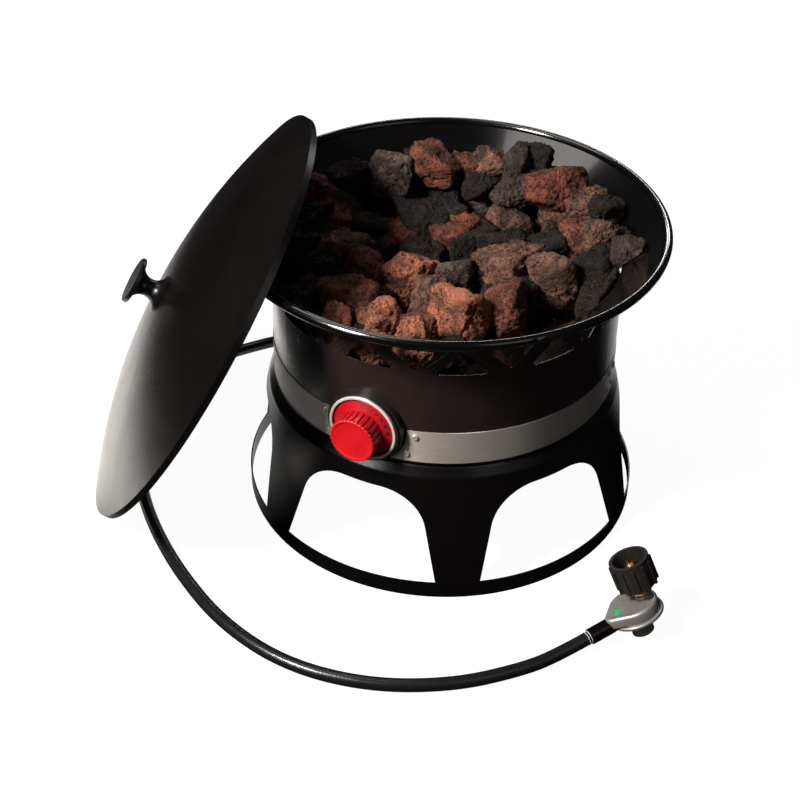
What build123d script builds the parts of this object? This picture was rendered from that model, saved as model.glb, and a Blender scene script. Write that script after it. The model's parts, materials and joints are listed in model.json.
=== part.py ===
from build123d import *
import math
import os

# Portable gas fire pit, in millimetres. Origin on the bowl's axis at the floor,
# +Z up, control knob facing -Y. Angles round the bowl are azimuths in degrees:
# 0 is the knob's side (-Y), 90 is +X.

# ---- bowl and body ----------------------------------------------------------
rim_d = 457.0          # outside of the rolled rim
total_h = 328.0        # top of the rolled rim
bowl_h = 178.0         # from the shell's foot to the top of the rim
bead_r = 5.0           # rolled rim's section
rim_t = 1.5            # rim's sheet
body_r = 183.0         # outside of the body shell
shell_t = 1.2
shell_z0 = total_h - bowl_h    # underside of the shell's turned-in foot
shell_z1 = shell_z0 + 140.0
shell_foot_r = body_r - 18.0   # inner edge of the foot
shell_bend = 2.4
flare_z = shell_z0 + 145.0     # where the flare leaves the neck
neck_h = 7.2                   # the neck's straight stretch below that
flare_bend = 12.0              # largest bend between neck and flare
base_t = 1.2           # base pan
base_lip = 2.8         # height of the base pan's lip over the shell's foot
base_hole_r = 60.0     # middle air hole of the base pan
base_slot_r = 108.0    # air slots round it
base_slot_count = 8
base_slot_l = 46.0
base_slot_w = 10.0
touch = 0.2            # side gap between nested sheets
through = 100.0        # length of a cutter that goes right through

# ---- vents ------------------------------------------------------------------
vent_count = 12
vent_foot_z = shell_z0 + 110.5
vent_top_z = shell_z0 + 137.0
vent_half_w = 28.4
vent_round = 2.5
vent_apex_z = shell_z0 + 112.7   # lowest point of the hanging triangles
vent_top_half_w = 26.5

# ---- trim band --------------------------------------------------------------
band_z0 = shell_z0 + 3.0
band_z1 = shell_z0 + 40.8
band_t = 0.7
band_gap = 1.5         # between the bands' ends, and round the bezel
band_seams = (97.0, 180.0, 263.0)
screw_head_r = 3.4
screw_head_h = 1.8
screw_head_round = 1.1
cross_l = 3.4          # cross recess in the heads
cross_w = 0.8
screw_r = 1.75
screw_len = 5.0
screw_edge = 8.5       # from a band's end to its screws
screw_rows = (shell_z0 + 11.5, shell_z0 + 33.5)

# ---- knob and valve, their depths counted from the body's face ----------------
face_y = -body_r
knob_z = shell_z0 + 37.0
bezel_r = 41.0
bezel_step_r = 38.8
bezel_back_y = face_y + 13.0
bezel_step_y = face_y - 4.6
bezel_front_y = face_y - 7.6
bezel_bore_r = 33.5
bezel_floor_y = face_y - 1.9
ring_r = 36.8
ring_in_r = 33.7
ring_front_y = face_y - 9.6
ring_round = 0.9
dial_r = 32.4
dial_t = 1.6
dial_edge_y = face_y - 7.3     # front of the dial at its edge
dial_rise = 4.2                # cone of the dial, from edge to grip
grip_r = 23.2
grip_back_y = dial_edge_y - dial_rise
grip_front_y = face_y - 29.4
flutes = 24
flute_r = 1.7
cap_r = 24.2
cap_front_y = face_y - 32.0
cap_edge = 0.8
cap_lip_r = 20.8
cap_lip_h = 0.7
stem_r = 4.0
stem_fit = 0.05        # running clearance of the stem
stem_tip_y = face_y - 24.0
stem_tail_y = face_y + 42.0
collar_r = 6.8
collar_t = 2.0
washer_t = 1.5
washer_y = face_y + 23.0       # back face of the thrust washer
valve_r = 16.0
valve_front_y = face_y + 15.0
valve_back_y = face_y + 53.0
valve_neck_r = 10.5
valve_neck_y = face_y + 6.0
valve_boss_r = 10.0
valve_boss_h = 27.0    # from the stem's axis down to the inlet's thread
chamber_r = 7.2
chamber_back_y = face_y + 33.0
stem_bore_end_y = face_y + 49.0
spring_wire_r = 0.55
spring_turns = 5
spring_side_gap = 0.35
spring_end_gap = 0.15
bracket_t = 1.5
bracket_w = 74.0
bracket_h = 40.0
bracket_ear = 12.0
bracket_ear_d = 16.0
bracket_hole_x = bracket_w / 2 - bracket_ear / 2
neck_fit = 0.2         # bracket and nut round the valve's neck
shell_knob_hole_r = 30.0
nut_af = 26.0
nut_t = 4.5

# ---- gas way ----------------------------------------------------------------
injector_af = 13.0
injector_hex_l = 7.0
injector_nose_r = 4.0
orifice_r = 0.6
orifice_l = 5.0
orifice_y = face_y + 67.0      # tip of the injector
mixer_r = 10.0
mixer_t = 1.2
bell_r = 15.0
bell_y0 = face_y + 59.0
bell_y1 = face_y + 91.0
bell_overlap = 3.0
air_window = 12.0
elbow_bend = 24.0
shutter_t = 1.0
shutter_l = 8.0
burner_z = shell_z0 + 82.5
burner_ring_r = 66.0
burner_tube_r = 6.5
burner_spokes = (45, 135, 225, 315)
burner_ports = 24
port_turn = 4.0        # the first port stands off the knob's side by this
port_r = 1.2
port_depth = 3.0
hub_r = 14.0
hub_z0 = shell_z0 + 74.0
leg_l = 14.0
leg_w = 12.0
well_z = shell_z0 + 72.0       # burner's well in the pan
well_r = 80.0
well_slope = 5.0
well_bend = 4.0
pan_z = shell_z0 + 88.0
pan_t = 1.2
pan_lip_z = shell_z0 + 98.0
pan_bend = 5.0
pan_gap = 0.8
mixer_gap = 1.5        # pan's middle hole round the mixer
drain_count = 6
drain_circle_r = 120.0
drain_r = 3.0
pan_bracket_z = shell_z0 + 70.0
pan_bracket_t = 1.6
pan_bracket_l = 24.0
pan_bracket_reach = 18.0
inlet_y = face_y + 36.0
inlet_z = shell_z0 - 22.0
inlet_r = 7.5
inlet_arm = 24.0
inlet_hex_af = 19.0
inlet_hex_h = 8.0
base_inlet_r = 13.0

# ---- stand ------------------------------------------------------------------
foot_ring_r = body_r + 31.8
foot_ring_h = 20.0
foot_bend = 30.0
stand_t = 1.5
shoulder_r = body_r + 7.0
shoulder_z = shell_z0 - 13.0
shoulder_in = 8.5      # the shoulder's slope inwards
shoulder_bend = 9.0
stand_in_r = body_r - 18.0
arch_count = 6
arch_foot_half_w = 86.8
arch_foot_z = 19.0
arch_top_z = shell_z0 - 29.0
arch_top_half_w = 59.7
arch_round = 52.0
bolt_circle_r = body_r - 10.0
bolt_r = 2.5
bolt_clear = 0.3
bolt_head_r = 4.6
bolt_head_h = 2.6
bolt_nut_af = 8.0
bolt_nut_t = 4.0
bolt_end = 1.5         # thread past the nut

# ---- lid --------------------------------------------------------------------
lid_r = 237.0
lid_t = 1.5
lid_crown = 45.5       # rise of the dome over its skirt
lid_skirt = 7.0
lid_lean = 58.6        # rim plane against the floor
lid_az = -64.2         # side that it leans on
lid_gap = 0.4          # between the rolled rim and the dome
lid_grip_r = 25.5
lid_grip_t = 5.0
lid_neck_r = 10.0
lid_base_r = 20.0
lid_base_t = 1.5
lid_grip_h = 33.0
lid_grip_edge = 1.2
lid_screw_r = 2.5
lid_screw_head_r = 5.0
lid_screw_head_h = 3.0
lid_screw_l = 17.0
lid_washer_r = 7.5
lid_washer_t = 1.0
lid_washer_gap = 0.2   # under the dome's curve

# ---- hose and regulator -----------------------------------------------------
hose_r = 6.8
floor_gap = 0.1
ferrule_r = 8.3
ferrule_len = 26.0
swivel_af = 19.0
swivel_l = 6.0
reg_centre = (287.0, -148.5, 26.8)
reg_lean = 26.0
reg_heading = (-0.58, -0.81)
reg_out = 29.0         # from the centre to the outlet's face
outlet_drop = 12.0     # degrees that the outlet points down
outlet_lead = 38.0
arm_r = 8.6
arm_start = 12.0
mouth_r = 8.0
mouth_l = 6.0
reg_flange_r = 28.5
reg_flange_t = 4.2
reg_flange_round = 1.9
reg_body_r = 25.0
reg_body_h = 8.0
reg_shoulder_r = 21.0
reg_shoulder_h = 2.0
reg_dish_r = 15.0
reg_dish_z = -9.5
reg_boss_r = 11.5
reg_boss_low = -24.0
reg_cap_r = 7.9
reg_cap_t = 2.4
nipple_off = 14.0      # from the centre, away from the outlet
nipple_boss_r = 9.5
nipple_boss_h = 14.0
nipple_af = 15.0
nipple_hex_h = 6.0
nipple_r = 6.0
nipple_neck_l = 12.0
nipple_seat_r = 9.0
nipple_seat_h = 4.0
nipple_nose_r = 7.0
nipple_nose_l = 16.0
nipple_tip_r = 4.6
nipple_tip_l = 4.0
nipple_way_r = 2.6
nut_r = 20.5
nut_bore_r = 16.7
nut_low = 24.0
nut_high = 57.0
nut_wall = 5.0
nut_edge = 3.0
nut_ribs = 12
nut_rib = (2.8, 3.2)   # proud and wide
nut_rib_end = 6.0      # ribs stop short of the nut's ends by this in all
nipple_fit = 0.06


def at(az, radius, z=0.0):
    """Point at an azimuth and radius round the bowl's axis."""
    a = math.radians(az)
    return Vector(radius * math.sin(a), -radius * math.cos(a), z)


def facing(az, radius, z):
    """Plane on the bowl's side whose normal points outwards."""
    out = at(az, 1.0)
    side = Vector(-out.Y, out.X, 0)
    return Plane(origin=at(az, radius, z), x_dir=side, z_dir=out)


def tube(r_in, r_out, z0, z1):
    """Upright ring about the bowl's axis."""
    outer = Pos(0, 0, z0) * Cylinder(r_out, z1 - z0, align=(Align.CENTER, Align.CENTER, Align.MIN))
    inner = Pos(0, 0, z0) * Cylinder(r_in, z1 - z0, align=(Align.CENTER, Align.CENTER, Align.MIN))
    return outer - inner


def turned(outline):
    """Body of revolution about Z from a wire drawn as (radius, height)."""
    face = Plane.XZ * make_face(outline)
    return revolve(face, Axis.Z)


def sheet(points, bends, thickness, inward=True):
    """Turned sheet whose outer side follows the points, with bends at the corners."""
    path = FilletPolyline(*points, radius=bends)
    side = Side.LEFT if inward else Side.RIGHT
    loop = path.wire().offset_2d(thickness, kind=Kind.INTERSECTION, side=side)
    face = Plane.XZ * make_face(loop.edges())
    return revolve(face, Axis.Z)


def knob_cyl(radius, y0, y1):
    """Cylinder on the knob's axis between two depths."""
    plane = Plane(origin=(0, max(y0, y1), knob_z), x_dir=(1, 0, 0), z_dir=(0, -1, 0))
    return plane * Cylinder(radius, abs(y1 - y0), align=(Align.CENTER, Align.CENTER, Align.MIN))


def knob_ring(r_in, r_out, y0, y1):
    return knob_cyl(r_out, y0, y1) - knob_cyl(r_in, y0, y1)


def prism(plane, flats, height, sides=6):
    """Bar of regular section standing on a plane."""
    outline = RegularPolygon(flats / 2, sides, major_radius=False)
    return extrude(plane * outline, height)


def rod(start, direction, radius, length):
    plane = Plane(origin=start, z_dir=direction)
    return plane * Cylinder(radius, length, align=(Align.CENTER, Align.CENTER, Align.MIN))


def group(solids):
    return Compound(children=list(solids))


# ---- body -------------------------------------------------------------------
def vent_cutters():
    """Upright and hanging triangles in turn, with rounded corners."""
    cutters = []
    half_step = 180.0 / vent_count
    reach = 30.0
    for i in range(vent_count):
        az = i * 2 * half_step
        upright = Polygon((-vent_half_w, vent_foot_z), (vent_half_w, vent_foot_z),
                          (0, vent_top_z), align=None)
        hanging = Polygon((-vent_top_half_w, vent_top_z), (0, vent_apex_z),
                          (vent_top_half_w, vent_top_z), align=None)
        for outline, turn in ((upright, az), (hanging, az + half_step)):
            outline = fillet(outline.vertices(), vent_round)
            cutters.append(extrude(facing(turn, body_r - reach / 2, 0) * outline, reach))
    return cutters


def trim_screw_places():
    """Azimuth and height of each trim screw: beside the bezel and at the seams."""
    places = []
    off = math.degrees(screw_edge / body_r)
    for z in screw_rows:
        edge = bezel_cut_half_angle(z) + off
        places += [(edge, z), (-edge, z)]
        for seam in band_seams:
            places += [(seam - off, z), (seam + off, z)]
    return places


def bezel_cut_half_angle(z):
    """Half angle of the bands' cut round the bezel at a height."""
    radius = bezel_r + band_gap
    half = math.sqrt(radius ** 2 - (knob_z - z) ** 2)
    return math.degrees(math.asin(half / body_r))


def screw_holes():
    return [facing(az, body_r, z) * Cylinder(screw_r + touch, 2 * screw_len)
            for az, z in trim_screw_places()]


def leg_azimuths():
    """Middles of the stand's legs, where its bolts are."""
    step = 360 / arch_count
    return [step / 2 + step * i for i in range(arch_count)]


def bolt_holes():
    """Holes for the stand's bolts, the same in all three sheets."""
    hole = Cylinder(bolt_r + bolt_clear, 20)
    return [Pos(*at(az, bolt_circle_r, shell_z0)) * hole for az in leg_azimuths()]


def make_body_shell():
    shell = sheet([(shell_foot_r, shell_z0), (body_r, shell_z0), (body_r, shell_z1)],
                  [shell_bend], shell_t)
    shell = shell - vent_cutters() - screw_holes() - bolt_holes()
    return shell - knob_cyl(shell_knob_hole_r, bezel_back_y, bezel_front_y)


def make_base_pan():
    outer = body_r + touch + base_t
    low = shell_z0 - base_t
    pan = sheet([(base_hole_r, low), (outer, low), (outer, shell_z0 + base_lip)],
                [shell_bend + base_t + touch], base_t)
    pan = pan - bolt_holes() - Pos(0, inlet_y, shell_z0) * Cylinder(base_inlet_r, 10)
    step = 360 / base_slot_count
    slots = [facing(step / 2 + step * i, base_slot_r, shell_z0) * Box(base_slot_l, base_slot_w, 12)
             for i in range(base_slot_count)]
    return pan - slots


def make_bowl_rim():
    bead_c = rim_d / 2 - bead_r
    neck = body_r - shell_t - touch
    flare_end_z = total_h - bead_r + 1.0
    turn = math.atan2(bead_c - neck, flare_end_z - flare_z)
    room = 0.9 * neck_h / math.tan(turn / 2)
    flare = sheet([(neck, flare_z - neck_h), (neck, flare_z), (bead_c, flare_end_z)],
                  [min(flare_bend, room)], rim_t)
    bead = Pos(0, 0, total_h - bead_r) * Torus(bead_c, bead_r)
    return flare + bead


def make_trim_bands():
    ring = tube(body_r, body_r + band_t, band_z0, band_z1)
    ring = ring - knob_cyl(bezel_r + band_gap, face_y + through / 2, face_y - through / 2) - screw_holes()
    for seam in band_seams:
        ring = ring - facing(seam, body_r, (band_z0 + band_z1) / 2) * Box(band_gap, 60, 20)
    parts = sorted(ring.solids(), key=lambda s: math.atan2(s.center().X, -s.center().Y) % (2 * math.pi))
    names = ("trim_band_front_right", "trim_band_rear_right", "trim_band_rear_left", "trim_band_front_left")
    return dict(zip(names, parts))


def make_trim_screws():
    screws = []
    seat = body_r + band_t
    for az, z in trim_screw_places():
        head_plane = facing(az, seat, z)
        head = head_plane * Cylinder(
            screw_head_r, screw_head_h, align=(Align.CENTER, Align.CENTER, Align.MIN))
        head = fillet(head.faces().sort_by(Axis(at(az, 0), at(az, 1))).last.edges(), screw_head_round)
        slot = head_plane * Pos(0, 0, screw_head_h) * Box(cross_l, cross_w, 2 * cross_w)
        cross = head_plane * Pos(0, 0, screw_head_h) * Box(cross_w, cross_l, 2 * cross_w)
        shank = head_plane * Cylinder(screw_r, screw_len, align=(Align.CENTER, Align.CENTER, Align.MAX))
        screws.append((head + shank - slot - cross).solids()[0])
    return group(screws)


# ---- knob and valve ---------------------------------------------------------
def make_knob_bezel():
    cup = knob_cyl(bezel_r, bezel_back_y, bezel_step_y) + knob_cyl(bezel_step_r, bezel_back_y, bezel_front_y)
    cup = cup - Pos(0, 0, knob_z) * Cylinder(body_r, 3 * bezel_r)
    lip_clear = Pos(0, 0, band_z0 - 20) * Cylinder(body_r + base_t + 2 * touch, 40)
    cup = cup - lip_clear
    cup = cup - knob_cyl(bezel_bore_r, bezel_floor_y, ring_front_y)
    cup = cup - knob_cyl(valve_neck_r - 1.5, 0, ring_front_y)
    return cup.solids().sort_by(SortBy.VOLUME)[-1]


def make_bezel_ring():
    ring = knob_ring(ring_in_r, ring_r, bezel_front_y, ring_front_y)
    front = ring.faces().sort_by(Axis.Y)[0]
    return fillet(front.edges(), ring_round)


def stem_bore(back_y, front_y):
    return knob_cyl(stem_r + stem_fit, back_y, front_y)


def make_knob_dial():
    """Dial: a thin edge, then a cone that rises to the grip."""
    back = Plane(origin=(0, dial_edge_y + dial_t, knob_z), x_dir=(1, 0, 0), z_dir=(0, 0, -1))
    outline = Polyline((0, 0), (dial_r, 0), (dial_r, dial_t), (grip_r, dial_t + dial_rise),
                       (0, dial_t + dial_rise), close=True)
    dial = revolve(back * make_face(outline), Axis(back.origin, (0, -1, 0)))
    return dial - stem_bore(0, cap_front_y)


def make_knob_grip():
    grip = knob_cyl(grip_r, grip_back_y, grip_front_y)
    for i in range(flutes):
        a = 2 * math.pi * i / flutes
        groove = Plane(origin=(grip_r * math.cos(a), grip_back_y - 1.0, knob_z + grip_r * math.sin(a)),
                       x_dir=(1, 0, 0), z_dir=(0, -1, 0))
        grip -= groove * Cylinder(flute_r, 40, align=(Align.CENTER, Align.CENTER, Align.MIN))
    return grip - stem_bore(0, stem_tip_y)


def make_knob_cap():
    cap = knob_cyl(cap_r, grip_front_y, cap_front_y)
    cap = chamfer(cap.faces().sort_by(Axis.Y)[0].edges(), cap_edge)
    return cap - knob_cyl(cap_lip_r, cap_front_y + cap_lip_h, cap_front_y - 1)


def make_valve_stem():
    stem = knob_cyl(stem_r, stem_tail_y, stem_tip_y)
    collar_back = washer_y - washer_t
    return stem + knob_cyl(collar_r, collar_back, collar_back - collar_t)


def make_return_spring():
    length = abs(washer_y - chamber_back_y) - 2 * (spring_wire_r + spring_end_gap)
    radius = chamber_r - spring_wire_r - spring_side_gap
    path = Helix(pitch=length / spring_turns, height=length, radius=radius)
    start = Plane(origin=path @ 0, z_dir=path % 0)
    coil = sweep(start * Circle(spring_wire_r), path=path)
    seat_y = chamber_back_y - spring_wire_r - spring_end_gap
    frame = Plane(origin=(0, seat_y, knob_z), x_dir=(1, 0, 0), z_dir=(0, -1, 0))
    return frame * coil


def make_valve_body():
    body = knob_cyl(valve_r, valve_front_y, valve_back_y)
    body += knob_cyl(valve_neck_r, valve_front_y, valve_neck_y)
    body += Pos(0, inlet_y, knob_z - valve_boss_h) * Cylinder(
        valve_boss_r, valve_boss_h, align=(Align.CENTER, Align.CENTER, Align.MIN))
    body -= knob_cyl(chamber_r, chamber_back_y, cap_front_y)
    return body - stem_bore(stem_bore_end_y, cap_front_y)


def make_valve_bracket():
    back = valve_front_y
    plate = Pos(0, back - bracket_t / 2, knob_z) * Box(bracket_w, bracket_t, bracket_h)
    for side in (-1, 1):
        plate += Pos(side * bracket_hole_x, back - bracket_ear_d / 2, knob_z) * Box(
            bracket_ear, bracket_ear_d, bracket_h)
    plate = plate & Pos(0, 0, knob_z) * Cylinder(body_r - shell_t, through)
    for side in (-1, 1):
        plate -= Pos(side * bracket_hole_x, back - bracket_ear_d / 2, knob_z) * Rot(90, 0, 0) * Cylinder(
            screw_r + touch, through)
    return plate - knob_cyl(valve_neck_r + neck_fit, 0, cap_front_y)


def make_valve_nut():
    plane = Plane(origin=(0, valve_front_y - bracket_t, knob_z), x_dir=(1, 0, 0), z_dir=(0, -1, 0))
    return prism(plane, nut_af, nut_t) - knob_cyl(valve_neck_r + neck_fit, 0, cap_front_y)


# ---- gas way ----------------------------------------------------------------
def make_injector():
    hex_end_y = valve_back_y + injector_hex_l
    plane = Plane(origin=(0, valve_back_y, knob_z), x_dir=(1, 0, 0), z_dir=(0, 1, 0))
    nose = rod((0, hex_end_y, knob_z), (0, 1, 0), injector_nose_r, orifice_y - hex_end_y)
    jet = rod((0, orifice_y - orifice_l, knob_z), (0, 1, 0), orifice_r, orifice_l + 1.0)
    return prism(plane, injector_af, injector_hex_l) + nose - jet


def make_mixer_tube():
    """Air bell, then one bent tube up to the burner's hub."""
    path = FilletPolyline((0, bell_y1, knob_z), (0, 0, knob_z), (0, 0, hub_z0), radius=elbow_bend)
    section = Plane(origin=(0, bell_y1, knob_z), z_dir=(0, 1, 0))
    pipe = sweep(section * Circle(mixer_r), path=path)
    core = sweep(section * Circle(mixer_r - mixer_t), path=path)
    bell = rod((0, bell_y0, knob_z), (0, 1, 0), bell_r, bell_y1 - bell_y0 + bell_overlap)
    hollow = rod((0, bell_y0 - 1, knob_z), (0, 1, 0), bell_r - mixer_t, bell_y1 - bell_y0 - 2.0)
    neck = rod((0, bell_y1 - 8.0, knob_z), (0, 1, 0), mixer_r - mixer_t, 14.0)
    window = Pos(0, (bell_y0 + bell_y1) / 2 - 2.0, knob_z) * Box(4 * bell_r, air_window, air_window)
    return (pipe + bell) - core - hollow - neck - window


def make_air_shutter():
    start_y = bell_y0 + 2.0
    outer = rod((0, start_y, knob_z), (0, 1, 0), bell_r + touch + shutter_t, shutter_l)
    inner = rod((0, start_y - 1, knob_z), (0, 1, 0), bell_r + touch, shutter_l + 2)
    return outer - inner


def make_ring_burner():
    ring = Pos(0, 0, burner_z) * Torus(burner_ring_r, burner_tube_r)
    for az in burner_spokes:
        ring += rod((0, 0, burner_z), at(az, 1), burner_tube_r - 1.5, burner_ring_r)
    ring += Pos(0, 0, hub_z0) * Cylinder(
        hub_r, burner_z + burner_tube_r - hub_z0, align=(Align.CENTER, Align.CENTER, Align.MIN))
    for i in range(burner_ports):
        az = 360 / burner_ports * i + port_turn
        ring -= Pos(*at(az, burner_ring_r, burner_z + burner_tube_r)) * Cylinder(port_r, 2 * port_depth)
    return ring


def make_burner_legs():
    floor = well_z + pan_t
    height = burner_z - burner_tube_r - floor
    return group((facing(az, burner_ring_r, floor + height / 2) * Box(leg_l, height, leg_w)).solids()[0]
                 for az in (0, 120, 240))


def make_burner_pan():
    outer = body_r - shell_t - pan_gap
    pan = sheet([(mixer_r + mixer_gap, well_z), (well_r, well_z), (well_r + well_slope, pan_z),
                 (outer, pan_z), (outer, pan_lip_z)], [well_bend, well_bend, pan_bend], pan_t)
    step = 360 / drain_count
    return pan - [Pos(*at(step / 2 + step * i, drain_circle_r, pan_z)) * Cylinder(drain_r, 6)
                  for i in range(drain_count)]


def make_pan_brackets():
    inner = body_r - shell_t
    ring = tube(inner - pan_bracket_t, inner, pan_bracket_z, pan_z)
    ring += tube(inner - pan_bracket_reach, inner, pan_z - pan_bracket_t, pan_z)
    return group((ring & facing(az, inner - 10, pan_z - 10) * Box(pan_bracket_l, 40, 60)).solids()[0]
                 for az in burner_spokes)


def make_inlet_elbow():
    top = knob_z - valve_boss_h
    leg = rod((0, inlet_y, inlet_z), (0, 0, 1), inlet_r, top - inlet_z)
    arm = rod((0, inlet_y, inlet_z), (0, 1, 0), inlet_r, inlet_arm)
    corner = Pos(0, inlet_y, inlet_z) * Sphere(inlet_r)
    hexagon = prism(Plane(origin=(0, inlet_y, top - inlet_hex_h), z_dir=(0, 0, 1)), inlet_hex_af, inlet_hex_h)
    return leg + arm + corner + hexagon


# ---- stand ------------------------------------------------------------------
def make_stand():
    top = shell_z0 - base_t
    wall = sheet([(foot_ring_r, 0), (foot_ring_r, foot_ring_h), (shoulder_r, shoulder_z),
                  (shoulder_r - shoulder_in, top), (stand_in_r, top)],
                 [foot_bend, shoulder_bend, shoulder_bend - 2.0], stand_t)
    outline = Polygon((-arch_foot_half_w, arch_foot_z), (arch_foot_half_w, arch_foot_z),
                      (arch_top_half_w, arch_top_z), (-arch_top_half_w, arch_top_z), align=None)
    corners = outline.vertices().sort_by(Axis.Y)[-2:]
    outline = fillet(corners, arch_round)
    for i in range(arch_count):
        wall -= extrude(facing(360 / arch_count * i, foot_ring_r / 2, 0) * outline, foot_ring_r)
    return wall - bolt_holes()


def make_stand_bolts():
    """Bolts from below, with their nuts on the shell's foot."""
    bolts, nuts = [], []
    low = shell_z0 - base_t - stand_t
    high = shell_z0 + shell_t
    for az in leg_azimuths():
        x, y, _ = at(az, bolt_circle_r)
        head = Pos(x, y, low - bolt_head_h) * Cylinder(
            bolt_head_r, bolt_head_h, align=(Align.CENTER, Align.CENTER, Align.MIN))
        shank = Pos(x, y, low) * Cylinder(
            bolt_r, high - low + bolt_nut_t + bolt_end, align=(Align.CENTER, Align.CENTER, Align.MIN))
        bolts.append((head + shank).solids()[0])
        nut = prism(Plane(origin=(x, y, high), z_dir=(0, 0, 1)), bolt_nut_af, bolt_nut_t)
        nuts.append((nut - Pos(x, y, high) * Cylinder(bolt_r + stem_fit, 20)).solids()[0])
    return group(bolts), group(nuts)


# ---- lid --------------------------------------------------------------------
def dome_radius():
    return (lid_r ** 2 + lid_crown ** 2) / (2 * lid_crown)


def lid_plane():
    """Plane of the lid's rim, placed so that the skirt stands on the floor
    and the dome's inside leans on the rolled rim."""
    lean = math.radians(lid_lean)
    sphere_up = lid_skirt + lid_crown - dome_radius()
    inner = dome_radius() - lid_t
    centre_z = lid_r * math.sin(lean) + sphere_up * math.cos(lean)
    bead_c = rim_d / 2 - bead_r
    rise = (total_h - bead_r) - centre_z
    centre_d = bead_c - math.sqrt((inner - bead_r - lid_gap) ** 2 - rise ** 2)
    middle_d = centre_d - sphere_up * math.sin(lean)
    out = at(lid_az, 1.0)
    normal = out * math.sin(lean) + Vector(0, 0, math.cos(lean))
    return Plane(origin=at(lid_az, middle_d, lid_r * math.sin(lean)),
                 x_dir=Vector(-out.Y, out.X, 0), z_dir=normal)


def lid_cap(radius, crown_r, rise):
    """Solid cap: a sphere's slice on a short cylinder."""
    centre = lid_skirt + lid_crown - dome_radius()
    ball = Pos(0, 0, centre) * Sphere(crown_r)
    column = Cylinder(radius, rise, align=(Align.CENTER, Align.CENTER, Align.MIN))
    return ball & column


def make_lid_dome():
    dome = lid_cap(lid_r, dome_radius(), through) - lid_cap(lid_r - lid_t, dome_radius() - lid_t, through)
    return dome - Pos(0, 0, lid_skirt + lid_crown) * Cylinder(lid_screw_r + bolt_clear, 20)


def make_lid_grip():
    """Trumpet-shaped grip: a foot, a hollow neck line and a flat disc."""
    disc_z = lid_grip_h - lid_grip_t
    under_r = lid_grip_r - 1.5
    outline = [Line((0, 0), (lid_base_r, 0)),
               Line((lid_base_r, 0), (lid_base_r, lid_base_t)),
               ThreePointArc((lid_base_r, lid_base_t), (lid_neck_r, lid_grip_h / 2), (under_r, disc_z)),
               Line((under_r, disc_z), (lid_grip_r, disc_z + 1)),
               Line((lid_grip_r, disc_z + 1), (lid_grip_r, lid_grip_h - 1)),
               Line((lid_grip_r, lid_grip_h - 1), (lid_grip_r - lid_grip_edge, lid_grip_h)),
               Line((lid_grip_r - lid_grip_edge, lid_grip_h), (0, lid_grip_h)),
               Line((0, lid_grip_h), (0, 0))]
    grip = turned(outline) - Cylinder(lid_screw_r + stem_fit, 40)
    return Pos(0, 0, lid_skirt + lid_crown + stem_fit) * grip


def lid_washer_low():
    """Underside of the washer inside the dome."""
    return lid_skirt + lid_crown - lid_t - lid_washer_gap - lid_washer_t


def make_lid_screw():
    low = Pos(0, 0, lid_washer_low())
    head = low * Cylinder(lid_screw_head_r, lid_screw_head_h, align=(Align.CENTER, Align.CENTER, Align.MAX))
    return head + low * Cylinder(lid_screw_r, lid_screw_l, align=(Align.CENTER, Align.CENTER, Align.MIN))


def make_lid_washer():
    disc = Cylinder(lid_washer_r, lid_washer_t) - Cylinder(lid_screw_r + bolt_clear, 4)
    return Pos(0, 0, lid_washer_low() + lid_washer_t / 2) * disc


# ---- hose and regulator -----------------------------------------------------
floor_z = hose_r + floor_gap

# the route's own points, between the straight leads out of its two fittings
over_foot_z = 42.0     # height at which the hose crosses the stand's foot ring
hose_mid_points = [
    (0, inlet_y + 111, inlet_z), (-10, 16, max(over_foot_z, inlet_z * 0.875)),
    (-44, 58, max(over_foot_z, inlet_z * 0.65625)), (-100, 88, max(over_foot_z, inlet_z * 0.46875)),
    (-160, 104, over_foot_z), (-214, 116, over_foot_z),
    (-264, 119, 22), (-310, 96, floor_z), (-342, 46, floor_z), (-352, -16, floor_z), (-343, -80, floor_z),
    (-315, -144, floor_z), (-272, -200, floor_z), (-222, -248, floor_z), (-160, -294, floor_z),
    (-84, -336, floor_z), (0, -356, floor_z), (84, -344, floor_z), (158, -306, floor_z), (210, -256, floor_z),
]


def regulator_plane():
    lean = math.radians(reg_lean)
    normal = Vector(-math.sin(lean), 0, math.cos(lean))
    heading = Vector(reg_heading[0], reg_heading[1], 0)
    along = heading - normal * heading.dot(normal)
    return Plane(origin=reg_centre, x_dir=along.normalized(), z_dir=normal)


def outlet_dir():
    drop = math.radians(outlet_drop)
    heading = Vector(reg_heading[0], reg_heading[1], 0).normalized()
    return heading * math.cos(drop) - Vector(0, 0, math.sin(drop))


def hose_points():
    start = Vector(0, inlet_y + inlet_arm + swivel_l + ferrule_len, inlet_z)
    end = Vector(*reg_centre) + outlet_dir() * (reg_out + ferrule_len)
    lead = end + outlet_dir() * outlet_lead
    return [start] + [Vector(*p) for p in hose_mid_points] + [lead, end]


def corner_radii(points):
    radii = []
    for before, here, after in zip(points, points[1:], points[2:]):
        run = min((here - before).length, (after - here).length)
        turn = (here - before).get_angle(after - here)
        radii.append(0.45 * run / math.tan(math.radians(turn / 2)))
    return radii


def make_gas_hose():
    points = hose_points()
    radii = corner_radii(points)
    path = FilletPolyline(*points, radius=radii)
    section = Plane(origin=points[0], z_dir=points[1] - points[0])
    hose = sweep(section * Circle(hose_r), path=path)
    runs = [(b - a).length for a, b in zip(points, points[1:])]
    print("hose radii", [round(r) for r in radii])
    print("hose runs", [round(r) for r in runs], "length", round(path.length))
    print("hose volume against section times length",
          round(hose.volume / (math.pi * hose_r ** 2 * path.length), 4))
    return hose


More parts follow.
